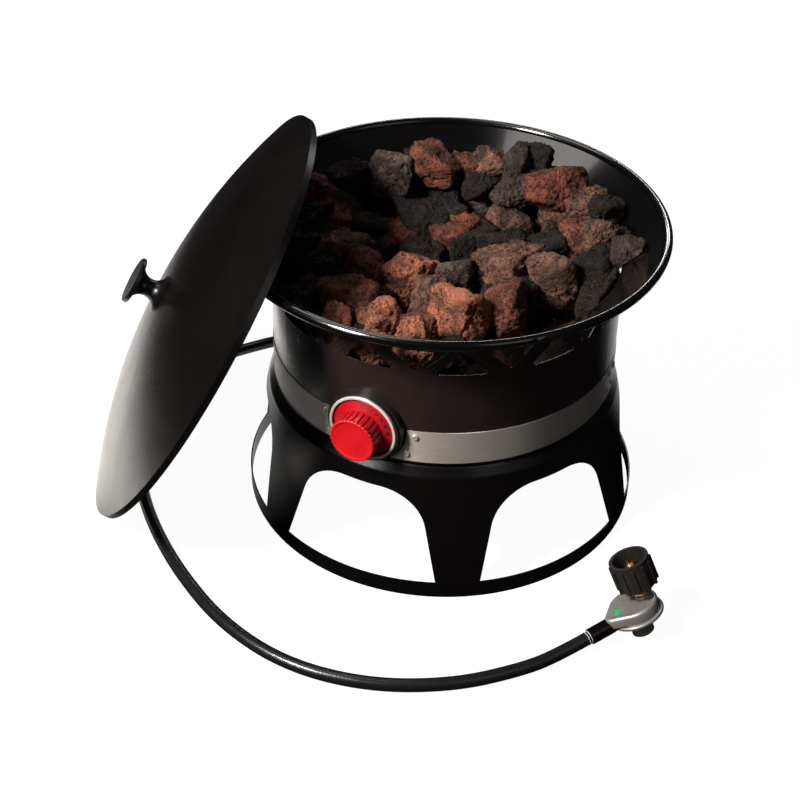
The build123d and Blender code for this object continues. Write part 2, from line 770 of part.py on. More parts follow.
def make_inlet_ferrule():
    """The swivel nut on the elbow, and the ferrule behind it."""
    start_y = inlet_y + inlet_arm
    nut = prism(Plane(origin=(0, start_y, inlet_z), z_dir=(0, 1, 0)), swivel_af, swivel_l)
    return nut, rod((0, start_y + swivel_l, inlet_z), (0, 1, 0), ferrule_r, ferrule_len)


def make_outlet_ferrule():
    start = Vector(*reg_centre) + outlet_dir() * reg_out
    return rod(start, outlet_dir(), ferrule_r, ferrule_len)


def reg_disc(radius, low, height, off=0.0):
    """Disc in the regulator's plane, off its centre away from the outlet."""
    return Pos(-off, 0, low) * Cylinder(radius, height, align=(Align.CENTER, Align.CENTER, Align.MIN))


def make_regulator_body():
    """Upper casting: round seat, outlet arm and inlet boss."""
    seat = reg_disc(reg_body_r, 0, reg_body_h) + reg_disc(reg_shoulder_r, reg_body_h, reg_shoulder_h)
    casting = regulator_plane() * (seat + reg_disc(nipple_boss_r, 0, nipple_boss_h, nipple_off))
    middle = Vector(*reg_centre)
    base = middle + outlet_dir() * arm_start + regulator_plane().z_dir * 2.0
    reach = middle + outlet_dir() * reg_out - base
    arm = rod(base, reach, arm_r, reach.length - 3.0)
    mouth = rod(middle + outlet_dir() * (reg_out - mouth_l), outlet_dir(), mouth_r, mouth_l)
    return casting + arm + mouth


def make_regulator_cover(body):
    """Lower casting: rolled flange, dished underside and the vent boss."""
    flange = fillet(reg_disc(reg_flange_r, -reg_flange_t, reg_flange_t).edges().filter_by(GeomType.CIRCLE),
                    reg_flange_round)
    dish = Pos(0, 0, reg_dish_z) * Cone(reg_dish_r, reg_body_r - 1, -reg_flange_t - reg_dish_z,
                                        align=(Align.CENTER, Align.CENTER, Align.MIN))
    cover = flange + dish + reg_disc(reg_boss_r, reg_boss_low, reg_dish_z - reg_boss_low)
    port = Pos(0, -reg_boss_r, reg_boss_low + 7.5) * Box(9, 5, 6)
    bore = reg_disc(reg_cap_r + 0.1, reg_boss_low, 3.0)
    return regulator_plane() * (cover - port - bore) - body


def make_regulator_cap():
    disc = reg_disc(reg_cap_r, reg_boss_low + 0.6, reg_cap_t)
    slot = Pos(0, 0, reg_boss_low + 0.6) * Box(10, 2, reg_cap_t)
    return regulator_plane() * (disc - slot)


def make_inlet_nipple():
    """Hexagon, neck, the seat that holds the nut, and the nose with its gas way."""
    seat_z = nut_low + nut_wall + 0.4
    nose_z = seat_z + nipple_seat_h
    tip_z = nose_z + nipple_nose_l
    hexagon = prism(Plane(origin=(-nipple_off, 0, nipple_boss_h)), nipple_af, nipple_hex_h)
    neck = reg_disc(nipple_r, nipple_boss_h + nipple_hex_h, nipple_neck_l, nipple_off)
    seat = reg_disc(nipple_seat_r, seat_z, nipple_seat_h, nipple_off)
    nose = reg_disc(nipple_nose_r, nose_z, nipple_nose_l, nipple_off)
    tip = Pos(-nipple_off, 0, tip_z) * Cone(
        nipple_nose_r, nipple_tip_r, nipple_tip_l, align=(Align.CENTER, Align.CENTER, Align.MIN))
    way = reg_disc(nipple_way_r, tip_z - 6.0, 14.0, nipple_off)
    return regulator_plane() * (hexagon + neck + seat + nose + tip - way)


def make_tank_nut():
    height = nut_high - nut_low
    nut = Cylinder(nut_r, height, align=(Align.CENTER, Align.CENTER, Align.MIN))
    nut = chamfer(nut.faces().sort_by(Axis.Z)[0].edges(), nut_edge)
    for i in range(nut_ribs):
        rib = Box(*nut_rib, height - nut_rib_end)
        nut += Rot(0, 0, 360 / nut_ribs * i) * Pos(nut_r, 0, height / 2 - 1.0) * rib
    nut -= Pos(0, 0, nut_wall) * Cylinder(nut_bore_r, height, align=(Align.CENTER, Align.CENTER, Align.MIN))
    nut -= Cylinder(nipple_r + nipple_fit, 30)
    return regulator_plane() * Pos(-nipple_off, 0, nut_low) * nut


# ---- lava rocks -------------------------------------------------------------
# (x, y, length, width, height, turn) of each rock on the pan
rocks_low = [
    (-66, -104, 50, 44, 44, 20), (-15, -116, 38, 34, 40, 60), (45, -72, 48, 44, 50, 10),
    (-31, -28, 42, 40, 50, 75), (-72, -44, 32, 34, 42, 0), (-114, -22, 46, 42, 48, 40),
    (14, -6, 34, 28, 38, 15), (6, -58, 28, 30, 40, 30), (86, -38, 30, 34, 52, 80),
    (58, 32, 52, 46, 56, 65), (112, 26, 36, 38, 58, 100), (148, 42, 22, 34, 48, 110),
    (-12, 58, 46, 42, 56, 95), (-72, 34, 42, 42, 50, 130), (-142, 20, 38, 40, 52, 10),
    (104, 96, 42, 36, 50, 30), (-104, 84, 40, 38, 48, 60), (26, 106, 38, 40, 48, 20),
    (-58, 118, 42, 36, 44, 150), (70, 138, 44, 34, 44, 40), (-16, 148, 42, 30, 42, 5),
    (-54, -146, 28, 22, 40, 0), (-8, -153, 30, 20, 40, 8), (28, -138, 32, 24, 44, 20),
    (134, 86, 26, 28, 42, 120),
]
# (x, y, rise of the middle over the pan, length, width, height, turn) of each rock on top of those
rocks_high = [
    (-76, 128, 65, 56, 40, 36, 150), (-108, 84, 64, 40, 40, 28, 20), (-144, 60, 65, 34, 26, 24, 60),
    (-46, 146, 58, 26, 24, 26, 0), (-20, 154, 66, 28, 24, 24, 30), (10, 156, 66, 26, 24, 38, 70),
    (26, 174, 76, 30, 24, 22, 170), (62, 138, 64, 48, 38, 38, 20), (-14, 116, 56, 32, 24, 24, 90),
    (22, 112, 60, 32, 28, 24, 45), (108, 118, 60, 30, 24, 26, 0), (128, 112, 70, 20, 20, 20, 45),
    (136, 78, 58, 26, 24, 26, 30),
]
rock_scale = 0.86
rock_cut = 0.27
rock_gap = 0.8


def make_stone(length, width, height, turn, tilt):
    """Blocky stone with every edge broken."""
    sizes = [size * rock_scale for size in (length, width, height)]
    block = chamfer(Box(*sizes).edges(), min(sizes) * rock_cut)
    return Rot(tilt, -tilt * 0.6, turn) * block


def make_rocks_low():
    floor = pan_z + pan_t + rock_gap
    stones = []
    for x, y, length, width, height, turn in rocks_low:
        stone = make_stone(length, width, height, turn, (x * 7 + y * 3) % 12 - 6)
        lift = floor - stone.bounding_box().min.Z
        stones.append((Pos(x, y, lift) * stone).solids()[0])
    return group(stones)


def make_rocks_high():
    return group(
        (Pos(x, y, pan_z + rise) * make_stone(length, width, height, turn, (x * 5 + y) % 14 - 7)).solids()[0]
        for x, y, rise, length, width, height, turn in rocks_high)


def build():
    bolts, nuts = make_stand_bolts()
    swivel, inlet_ferrule = make_inlet_ferrule()
    regulator_body = make_regulator_body()
    parts = {
        "stand": make_stand(),
        "stand_bolts": bolts,
        "stand_nuts": nuts,
        "base_pan": make_base_pan(),
        "body_shell": make_body_shell(),
        "bowl_rim": make_bowl_rim(),
        "trim_screws": make_trim_screws(),
        "knob_bezel": make_knob_bezel(),
        "bezel_ring": make_bezel_ring(),
        "knob_dial": make_knob_dial(),
        "knob_grip": make_knob_grip(),
        "knob_cap": make_knob_cap(),
        "valve_stem": make_valve_stem(),
        "stem_washer": knob_ring(stem_r + stem_fit, collar_r, washer_y, washer_y - washer_t),
        "return_spring": make_return_spring(),
        "valve_body": make_valve_body(),
        "valve_bracket": make_valve_bracket(),
        "valve_nut": make_valve_nut(),
        "injector": make_injector(),
        "mixer_tube": make_mixer_tube(),
        "air_shutter": make_air_shutter(),
        "ring_burner": make_ring_burner(),
        "burner_legs": make_burner_legs(),
        "burner_pan": make_burner_pan(),
        "pan_brackets": make_pan_brackets(),
        "inlet_elbow": make_inlet_elbow(),
        "hose_swivel_nut": swivel,
        "inlet_ferrule": inlet_ferrule,
        "gas_hose": make_gas_hose(),
        "outlet_ferrule": make_outlet_ferrule(),
        "regulator_body": regulator_body,
        "regulator_cover": make_regulator_cover(regulator_body),
        "regulator_cap": make_regulator_cap(),
        "inlet_nipple": make_inlet_nipple(),
        "tank_nut": make_tank_nut(),
        "lid_dome": lid_plane() * make_lid_dome(),
        "lid_grip": lid_plane() * make_lid_grip(),
        "lid_screw": lid_plane() * make_lid_screw(),
        "lid_washer": lid_plane() * make_lid_washer(),
        "lava_rocks_low": make_rocks_low(),
        "lava_rocks_high": make_rocks_high(),
    }
    parts.update(make_trim_bands())
    return parts


os.makedirs("parts", exist_ok=True)
for name, shape in build().items():
    export_step(shape, "parts/" + name + ".step")
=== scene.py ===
"""Looks of a portable gas fire pit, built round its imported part. Everything is in metres."""

import json
import math
import random

import bmesh
import bpy
import numpy as np
from mathutils import Matrix, Vector, noise


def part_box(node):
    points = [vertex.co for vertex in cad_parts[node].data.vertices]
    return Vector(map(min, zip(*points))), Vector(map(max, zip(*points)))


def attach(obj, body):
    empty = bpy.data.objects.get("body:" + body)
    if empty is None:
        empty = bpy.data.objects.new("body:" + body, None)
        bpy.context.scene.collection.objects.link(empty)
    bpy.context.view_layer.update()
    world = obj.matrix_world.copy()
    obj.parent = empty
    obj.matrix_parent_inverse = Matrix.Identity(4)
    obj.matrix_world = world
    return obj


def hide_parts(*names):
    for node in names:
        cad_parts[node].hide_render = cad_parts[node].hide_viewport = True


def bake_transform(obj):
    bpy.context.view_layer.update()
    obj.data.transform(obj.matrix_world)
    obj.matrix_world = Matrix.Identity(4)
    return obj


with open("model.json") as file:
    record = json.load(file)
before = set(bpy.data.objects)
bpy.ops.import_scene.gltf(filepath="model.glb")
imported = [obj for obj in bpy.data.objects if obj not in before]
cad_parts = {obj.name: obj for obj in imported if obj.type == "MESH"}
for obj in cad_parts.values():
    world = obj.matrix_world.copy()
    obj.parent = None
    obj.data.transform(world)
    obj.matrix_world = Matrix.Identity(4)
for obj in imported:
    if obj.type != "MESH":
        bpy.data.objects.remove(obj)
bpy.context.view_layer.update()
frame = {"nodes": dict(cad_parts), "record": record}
nodes = frame["nodes"]

MM = 0.001

# ---- sizes read from the frame ------------------------------------------------
rim_top_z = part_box("bowl_rim")[1].z
body_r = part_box("body_shell")[1].x
stones_low_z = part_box("lava_rocks_low")[0].z
cap_low, cap_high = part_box("knob_cap")
dial_low, dial_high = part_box("knob_dial")
grip_low, grip_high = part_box("knob_grip")
knob_z = (cap_low.z + cap_high.z) / 2
cap_r = (cap_high.x - cap_low.x) / 2
dial_r = (dial_high.x - dial_low.x) / 2
grip_r = (grip_high.x - grip_low.x) / 2


def on_bowl(az, radius, z):
    """Point at an azimuth round the bowl, in degrees from the knob's side towards +X."""
    a = math.radians(az)
    return Vector((radius * math.sin(a), -radius * math.cos(a), z))


# ---- camera -------------------------------------------------------------------
camera_place = (0.57508, -1.29678, 1.15381)
camera_back = (0.3486, -0.7211, 0.5988)
camera_roll = math.radians(0.906)
camera_lens = 71.75
sensor_width = 36.0


def make_camera():
    """Camera that looks against camera_back, rolled a little about its own axis."""
    back = Vector(camera_back).normalized()
    level = Vector((0, 0, 1)).cross(back).normalized()
    rise = back.cross(level)
    right = level * math.cos(camera_roll) + rise * math.sin(camera_roll)
    up = rise * math.cos(camera_roll) - level * math.sin(camera_roll)
    data = bpy.data.cameras.new("camera")
    data.lens = camera_lens
    data.sensor_width = sensor_width
    camera = bpy.data.objects.new("camera", data)
    turn = Matrix((right, up, back)).transposed().to_4x4()
    camera.matrix_world = Matrix.Translation(camera_place) @ turn
    bpy.context.scene.collection.objects.link(camera)
    bpy.context.scene.camera = camera


make_camera()


# ---- node helpers ---------------------------------------------------------------
class Maker:
    """Places nodes in one tree and joins them."""

    def __init__(self, tree):
        self.tree = tree

    def add(self, kind, **settings):
        made = self.tree.nodes.new(kind)
        for key, value in settings.items():
            setattr(made, key, value)
        return made

    def join(self, source, target):
        self.tree.links.new(source, target)

    def put(self, socket, value):
        """Feeds a socket from another one, or sets it."""
        if isinstance(value, bpy.types.NodeSocket):
            self.join(value, socket)
        else:
            socket.default_value = value

    def math(self, operation, first, second=0.0, clamp=False):
        made = self.add("ShaderNodeMath", operation=operation, use_clamp=clamp)
        self.put(made.inputs[0], first)
        self.put(made.inputs[1], second)
        return made.outputs[0]

    def noise(self, vector, scale, detail=3.0, rough=0.55, distortion=0.0):
        made = self.add("ShaderNodeTexNoise")
        self.put(made.inputs["Vector"], vector)
        self.put(made.inputs["Scale"], scale)
        self.put(made.inputs["Detail"], detail)
        self.put(made.inputs["Roughness"], rough)
        self.put(made.inputs["Distortion"], distortion)
        return made.outputs["Fac"]

    def voronoi(self, vector, scale, feature="F1"):
        made = self.add("ShaderNodeTexVoronoi", feature=feature)
        self.put(made.inputs["Vector"], vector)
        self.put(made.inputs["Scale"], scale)
        return made

    def ramp(self, value, low, high, out_low=0.0, out_high=1.0):
        made = self.add("ShaderNodeMapRange", interpolation_type="SMOOTHSTEP")
        for socket, number in zip(made.inputs, (value, low, high, out_low, out_high)):
            self.put(socket, number)
        return made.outputs[0]

    def mix(self, share, first, second):
        made = self.add("ShaderNodeMix", data_type="RGBA")
        self.put(made.inputs["Factor"], share)
        self.put(made.inputs["A"], first)
        self.put(made.inputs["B"], second)
        return made.outputs["Result"]

    def stretch(self, vector, scale):
        made = self.add("ShaderNodeVectorMath", operation="MULTIPLY")
        self.put(made.inputs[0], vector)
        made.inputs[1].default_value = scale
        return made.outputs[0]

    def place(self):
        return self.add("ShaderNodeTexCoord").outputs["Object"]

    def group(self, tree, **values):
        made = self.add("ShaderNodeGroup", node_tree=tree)
        for key, value in values.items():
            self.put(made.inputs[key.replace("_", " ")], value)
        return made.outputs


def new_group(name, inputs, outputs):
    """Empty node group with number inputs; an output's kind is given with its name."""
    tree = bpy.data.node_groups.new(name, "ShaderNodeTree")
    for socket_name, default in inputs:
        kind = "NodeSocketColor" if isinstance(default, tuple) else "NodeSocketFloat"
        socket = tree.interface.new_socket(socket_name, in_out="INPUT", socket_type=kind)
        socket.default_value = default
    for socket_name, kind in outputs:
        tree.interface.new_socket(socket_name, in_out="OUTPUT", socket_type=kind)
    make = Maker(tree)
    return tree, make, make.add("NodeGroupInput").outputs, make.add("NodeGroupOutput").inputs


FLOAT, COLOUR = "NodeSocketFloat", "NodeSocketColor"


def make_peel_group():
    """Orange peel of sprayed enamel: a soft low pebble with a fine tooth on it."""
    tree, make, given, out = new_group(
        "enamel_peel", [("Pebble Scale", 420.0), ("Tooth", 0.3)], [("Height", FLOAT)])
    place = make.place()
    pebble = make.noise(place, given["Pebble Scale"], 1.5, 0.4)
    tooth = make.noise(place, make.math("MULTIPLY", given["Pebble Scale"], 6.0), 2.0)
    make.join(make.math("ADD", pebble, make.math("MULTIPLY", tooth, given["Tooth"])), out["Height"])
    return tree


def make_handling_group():
    """Marks of handling: broad smudges, and thin scratches where they cross."""
    tree, make, given, out = new_group(
        "handling", [("Roughness", 0.35), ("Smudge", 0.06), ("Scratch", 0.1)],
        [("Roughness", FLOAT), ("Scratches", FLOAT)])
    place = make.place()
    smudge = make.math("SUBTRACT", make.noise(place, 14.0, 4.0, 0.6, 0.8), 0.5)
    scratches = None
    for axes in ((260, 18, 22), (16, 240, 40), (60, 24, 300)):
        lines = make.ramp(make.noise(make.stretch(place, axes), 1.0, 2.0, 0.5, 0.3), 0.66, 0.74)
        scratches = lines if scratches is None else make.math("MAXIMUM", scratches, lines)
    where = make.ramp(make.noise(place, 22.0, 2.0), 0.5, 0.72)
    scratches = make.math("MULTIPLY", scratches, where)
    rough = make.math("ADD", given["Roughness"], make.math("MULTIPLY", smudge, given["Smudge"]))
    rough = make.math("ADD", rough, make.math("MULTIPLY", scratches, given["Scratch"]), clamp=True)
    make.join(rough, out["Roughness"])
    make.join(scratches, out["Scratches"])
    return tree


def make_tone_group():
    """Slow drift of a colour between itself and a second one."""
    tree, make, given, out = new_group(
        "tone", [("First", (0.5, 0.5, 0.5, 1)), ("Second", (0.5, 0.5, 0.5, 1)), ("Scale", 12.0)],
        [("Color", COLOUR)])
    share = make.ramp(make.noise(make.place(), given["Scale"], 5.0, 0.6, 0.4), 0.35, 0.68)
    make.join(make.mix(share, given["First"], given["Second"]), out["Color"])
    return tree


def make_dust_group():
    """Fine dust that settles on faces that look up."""
    tree, make, given, out = new_group("dust", [("Amount", 0.2)], [("Mask", FLOAT)])
    up = make.add("ShaderNodeSeparateXYZ")
    make.join(make.add("ShaderNodeNewGeometry").outputs["Normal"], up.inputs[0])
    facing_up = make.ramp(up.outputs["Z"], 0.35, 1.0)
    speckle = make.ramp(make.noise(make.place(), 900.0, 4.0, 0.7), 0.5, 0.78)
    settled = make.math("MULTIPLY", facing_up, speckle)
    make.join(make.math("MULTIPLY", settled, given["Amount"]), out["Mask"])
    return tree


def make_casting_group():
    """Skin of a casting or a coarse moulding: grain with shallow pits."""
    tree, make, given, out = new_group("casting", [("Scale", 700.0), ("Pits", 0.5)],
                                       [("Height", FLOAT), ("Pits", FLOAT)])
    place = make.place()
    grain = make.noise(place, given["Scale"], 4.0, 0.65)
    cells = make.voronoi(place, make.math("MULTIPLY", given["Scale"], 0.5))
    pits = make.math("MULTIPLY", make.ramp(cells.outputs["Distance"], 0.25, 0.0), given["Pits"])
    make.join(make.math("SUBTRACT", grain, pits), out["Height"])
    make.join(pits, out["Pits"])
    return tree


peel = make_peel_group()
handling = make_handling_group()
tone = make_tone_group()
dust = make_dust_group()
casting = make_casting_group()


# ---- materials ------------------------------------------------------------------
def rgba(red, green, blue):
    return (red, green, blue, 1.0)


class Finish(Maker):
    """A material with its Principled shader."""

    def __init__(self, name):
        self.material = bpy.data.materials.new(name)
        self.material.use_nodes = True
        super().__init__(self.material.node_tree)
        self.tree.nodes.clear()
        self.shader = self.add("ShaderNodeBsdfPrincipled")
        surface = self.add("ShaderNodeOutputMaterial")
        self.join(self.shader.outputs[0], surface.inputs["Surface"])

    def set(self, **values):
        for key, value in values.items():
            self.put(self.shader.inputs[key.replace("_", " ")], value)

    def bump(self, height, distance, strength=1.0):
        made = self.add("ShaderNodeBump")
        made.inputs["Strength"].default_value = strength
        made.inputs["Distance"].default_value = distance
        self.join(height, made.inputs["Height"])
        self.join(made.outputs[0], self.shader.inputs["Normal"])


def enamel(name, colour, second, roughness, peel_depth, coat=0.0, specular=0.5, dusting=0.008, scratch=0.12):
    """Sprayed and baked enamel on steel."""
    finish = Finish(name)
    marks = finish.group(handling, Roughness=roughness, Smudge=0.14, Scratch=scratch)
    colours = finish.group(tone, First=rgba(*colour), Second=rgba(*second), Scale=9.0)["Color"]
    settled = finish.group(dust, Amount=dusting)["Mask"]
    colours = finish.mix(settled, colours, rgba(0.22, 0.2, 0.18))
    rough = finish.math("ADD", marks["Roughness"], finish.math("MULTIPLY", settled, 0.4), clamp=True)
    finish.set(Base_Color=colours, Roughness=rough, Specular_IOR_Level=specular,
               Coat_Weight=coat, Coat_Roughness=0.06)
    finish.bump(finish.group(peel, Pebble_Scale=520.0, Tooth=0.25)["Height"], peel_depth)
    return finish.material


def brushed_steel():
    """Stainless band brushed round the bowl: long fine lines along the band."""
    finish = Finish("band_steel")
    place = finish.place()
    parts = finish.add("ShaderNodeSeparateXYZ")
    finish.join(place, parts.inputs[0])
    round_way = finish.math("ARCTAN2", parts.outputs["X"], parts.outputs["Y"])
    line = finish.add("ShaderNodeCombineXYZ")
    finish.join(finish.math("MULTIPLY", round_way, 5.0), line.inputs["X"])
    finish.join(finish.math("MULTIPLY", parts.outputs["Z"], 2600.0), line.inputs["Y"])
    lines = finish.noise(line.outputs[0], 1.0, 6.0, 0.7)
    marks = finish.group(handling, Roughness=0.4, Smudge=0.18, Scratch=0.15)
    base = finish.mix(finish.ramp(lines, 0.3, 0.7), rgba(0.58, 0.53, 0.49), rgba(0.82, 0.77, 0.73))
    rough = finish.math("ADD", marks["Roughness"], finish.math("MULTIPLY", lines, 0.16), clamp=True)
    finish.set(Base_Color=base, Metallic=0.7, Roughness=rough, Anisotropic=0.8, Anisotropic_Rotation=0.25)
    finish.bump(lines, 0.00006, 0.8)
    return finish.material


def metal(name, colour, second, roughness, grain_scale, depth, pits=0.3, metallic=1.0):
    """Plated, turned or cast metal."""
    finish = Finish(name)
    skin = finish.group(casting, Scale=grain_scale, Pits=pits)
    marks = finish.group(handling, Roughness=roughness, Smudge=0.2, Scratch=0.14)
    colours = finish.group(tone, First=rgba(*colour), Second=rgba(*second), Scale=40.0)["Color"]
    dark = tuple(0.25 * part for part in colour)
    colours = finish.mix(skin["Pits"], colours, rgba(*dark))
    finish.set(Base_Color=colours, Metallic=metallic, Roughness=marks["Roughness"])
    finish.bump(skin["Height"], depth)
    return finish.material


def plastic(name, colour, second, roughness, grain_scale, depth, specular=0.5, subsurface=0.0):
    """Moulded plastic with a fine spark-eroded grain."""
    finish = Finish(name)
    skin = finish.group(casting, Scale=grain_scale, Pits=0.15)
    marks = finish.group(handling, Roughness=roughness, Smudge=0.12, Scratch=0.16)
    colours = finish.group(tone, First=rgba(*colour), Second=rgba(*second), Scale=60.0)["Color"]
    worn = tuple(min(1.0, part * 1.6 + 0.02) for part in colour)
    colours = finish.mix(finish.math("MULTIPLY", marks["Scratches"], 0.35), colours, rgba(*worn))
    finish.set(Base_Color=colours, Roughness=marks["Roughness"], Specular_IOR_Level=specular)
    if subsurface:
        finish.set(Subsurface_Weight=subsurface, Subsurface_Scale=0.002)
    finish.bump(skin["Height"], depth)
    return finish.material


def hose_rubber():
    """Extruded rubber: glossy skin with faint lengthwise lines and a cloth print."""
    finish = Finish("hose_rubber")
    place = finish.place()
    fine = finish.noise(place, 1400.0, 3.0, 0.6)
    print_of_cloth = finish.voronoi(place, 900.0).outputs["Distance"]
    marks = finish.group(handling, Roughness=0.24, Smudge=0.3, Scratch=0.2)
    settled = finish.group(dust, Amount=0.12)["Mask"]
    colours = finish.mix(settled, rgba(0.008, 0.008, 0.009), rgba(0.12, 0.11, 0.1))
    finish.set(Base_Color=colours, Roughness=marks["Roughness"], Specular_IOR_Level=0.45)
    finish.bump(finish.math("ADD", fine, finish.math("MULTIPLY", print_of_cloth, 0.5)), 0.00012, 0.6)
    return finish.material


def make_lava_group():
    """Foamed stone: big and small bubbles with thin walls and painted shade inside them, and burnt and rusty
    patches.
    """
    tree, make, given, out = new_group(
        "lava", [("Light", (0.4, 0.2, 0.1, 1)), ("Dark", (0.05, 0.03, 0.02, 1)), ("Burnt", 0.5)],
        [("Color", COLOUR), ("Height", FLOAT)])
    place = make.place()
    warp = make.add("ShaderNodeTexNoise")
    make.join(place, warp.inputs["Vector"])
    warp.inputs["Scale"].default_value = 180.0
    warped = make.add("ShaderNodeVectorMath", operation="MULTIPLY_ADD")
    make.join(warp.outputs["Color"], warped.inputs[0])
    warped.inputs[1].default_value = (0.004, 0.004, 0.004)
    make.join(place, warped.inputs[2])
    bubble_depth_and_shade = None
    for scale, weight in ((170.0, 0.9), (380.0, 1.0), (820.0, 0.7)):
        near = make.voronoi(warped.outputs[0], scale).outputs["Distance"]
        hole = make.math("MULTIPLY", make.ramp(near, 0.42, 0.12), weight)
        bubble_depth_and_shade = hole if bubble_depth_and_shade is None else make.math("MAXIMUM", bubble_depth_and_shade, hole)
    spread = make.ramp(make.noise(place, 46.0, 3.0), 0.34, 0.6)
    bubble_depth_and_shade = make.math("MULTIPLY", bubble_depth_and_shade, make.math("ADD", make.math("MULTIPLY", spread, 0.7), 0.3))
    crumbs = make.noise(place, 650.0, 6.0, 0.75)
    patches = make.noise(place, 34.0, 6.0, 0.7, 1.2)
    burnt = make.ramp(make.math("ADD", patches, make.math("MULTIPLY", given["Burnt"], 0.3)), 0.5, 0.78)
    colour = make.mix(burnt, given["Light"], given["Dark"])
    pale = make.ramp(crumbs, 0.56, 0.78)
    colour = make.mix(make.math("MULTIPLY", pale, 0.55), colour, rgba(0.5, 0.36, 0.28))
    # painted shade: the bubbles are darkened nearly to black
    colour = make.mix(make.math("MULTIPLY", bubble_depth_and_shade, 0.85), colour, rgba(0.012, 0.008, 0.006))
    make.join(colour, out["Color"])
    height = make.math("SUBTRACT", make.math("MULTIPLY", crumbs, 0.55), bubble_depth_and_shade)
    make.join(height, out["Height"])
    return tree


lava = make_lava_group()


def lava_rock(name, light, dark, burnt):
    """Foamed stone in one of its tints, lit and burnt."""
    finish = Finish(name)
    stone = finish.group(lava, Light=rgba(*light), Dark=rgba(*dark), Burnt=burnt)
    finish.set(Base_Color=stone["Color"], Roughness=0.93, Specular_IOR_Level=0.2)
    finish.bump(stone["Height"], 0.0028, 1.0)
    return finish.material


finishes = {
    "black_enamel": enamel("black_enamel", (0.0018, 0.0015, 0.0015), (0.0025, 0.002, 0.002),
                           roughness=0.23, peel_depth=0.00006),
    "body_enamel": enamel("body_enamel", (0.017, 0.0115, 0.0105), (0.022, 0.0145, 0.013),
                          roughness=0.22, peel_depth=0.00006, specular=0.42),
    "gloss_enamel": enamel("gloss_enamel", (0.0013, 0.0012, 0.0012), (0.0018, 0.0016, 0.0016),
                           roughness=0.16, peel_depth=0.00003, coat=0.7, dusting=0.004, scratch=0.06),
    "lid_enamel": enamel("lid_enamel", (0.0014, 0.0011, 0.001), (0.002, 0.0016, 0.0015),
                         roughness=0.29, peel_depth=0.00005, specular=0.55, scratch=0.03),
    "band_steel": brushed_steel(),
    "screw_steel": metal("screw_steel", (0.68, 0.66, 0.63), (0.56, 0.54, 0.52),
                         roughness=0.3, grain_scale=900.0, depth=0.00003, metallic=0.5),
    "zinc_steel": metal("zinc_steel", (0.55, 0.55, 0.53), (0.42, 0.43, 0.42),
                        roughness=0.34, grain_scale=500.0, depth=0.00005),
    "burner_steel": metal("burner_steel", (0.3, 0.27, 0.24), (0.16, 0.12, 0.1),
                          roughness=0.45, grain_scale=420.0, depth=0.0001, pits=0.5),
    "spring_steel": metal("spring_steel", (0.5, 0.5, 0.5), (0.4, 0.4, 0.41),
                          roughness=0.25, grain_scale=1200.0, depth=0.00002, pits=0.1),
    "bezel_black": plastic("bezel_black", (0.012, 0.011, 0.01), (0.018, 0.016, 0.015),
                           roughness=0.28, grain_scale=1300.0, depth=0.00004),
    "bezel_chrome": metal("bezel_chrome", (0.86, 0.84, 0.81), (0.78, 0.76, 0.73),
                          roughness=0.3, grain_scale=900.0, depth=0.00001, pits=0.0, metallic=0.45),
    "red_plastic": plastic("red_plastic", (0.6, 0.009, 0.015), (0.52, 0.007, 0.012),
                           roughness=0.34, grain_scale=1500.0, depth=0.00003, subsurface=0.12),
    # darker red than red_plastic: painted shade on the knob's dial and grip
    "red_dial": plastic("red_dial", (0.4, 0.004, 0.01), (0.33, 0.003, 0.008),
                        roughness=0.3, grain_scale=1500.0, depth=0.00003),
    "brass": metal("brass", (0.78, 0.5, 0.24), (0.66, 0.4, 0.2),
                   roughness=0.26, grain_scale=800.0, depth=0.00003, pits=0.1),
    "valve_aluminium": metal("valve_aluminium", (0.6, 0.6, 0.6), (0.5, 0.5, 0.51),
                             roughness=0.4, grain_scale=600.0, depth=0.0001),
    "hose_rubber": hose_rubber(),
    "ferrule_black": metal("ferrule_black", (0.03, 0.026, 0.025), (0.05, 0.04, 0.038),
                           roughness=0.3, grain_scale=900.0, depth=0.00003, pits=0.2),
    "regulator_zinc": metal("regulator_zinc", (0.37, 0.355, 0.35), (0.3, 0.285, 0.28),
                            roughness=0.4, grain_scale=800.0, depth=0.00016, pits=0.4, metallic=0.6),
    "nut_plastic": plastic("nut_plastic", (0.016, 0.015, 0.013), (0.022, 0.02, 0.018),
                           roughness=0.38, grain_scale=900.0, depth=0.00006),
    "grip_plastic": plastic("grip_plastic", (0.002, 0.002, 0.002), (0.003, 0.0028, 0.0028),
                            roughness=0.3, grain_scale=1100.0, depth=0.00004, specular=0.35),
}
stone_finishes = {
    "orange": lava_rock("lava_orange", (0.37, 0.135, 0.078), (0.08, 0.036, 0.026), 0.3),
    "rust": lava_rock("lava_rust", (0.22, 0.068, 0.043), (0.05, 0.022, 0.017), 0.45),
    "brown": lava_rock("lava_brown", (0.22, 0.11, 0.074), (0.055, 0.033, 0.025), 0.5),
    "grey": lava_rock("lava_grey", (0.14, 0.102, 0.088), (0.038, 0.029, 0.025), 0.7),
    # dark tint: partly dark stones, partly painted shade on the stones in the gaps
    "dark": lava_rock("lava_dark_and_painted_shade", (0.055, 0.037, 0.03), (0.015, 0.012, 0.01), 0.9),
}
node_finish = {row["node"]: row["material_slot"] for row in frame["record"]["subparts"]}


def paint(obj, material):
    obj.data.materials.clear()
    obj.data.materials.append(material)


def dress_cad_nodes():
    """Gives every carried-over CAD node its finish, and the knob's dial and grip a darker red as painted
    shade.
    """
    for name, obj in nodes.items():
        slot_name = node_finish[name]
        if slot_name in finishes:
            paint(obj, finishes[slot_name])
    # painted shade: the dial and grip take the darker red
    for name in ("knob_dial", "knob_grip"):
        paint(nodes[name], finishes["red_dial"])


dress_cad_nodes()


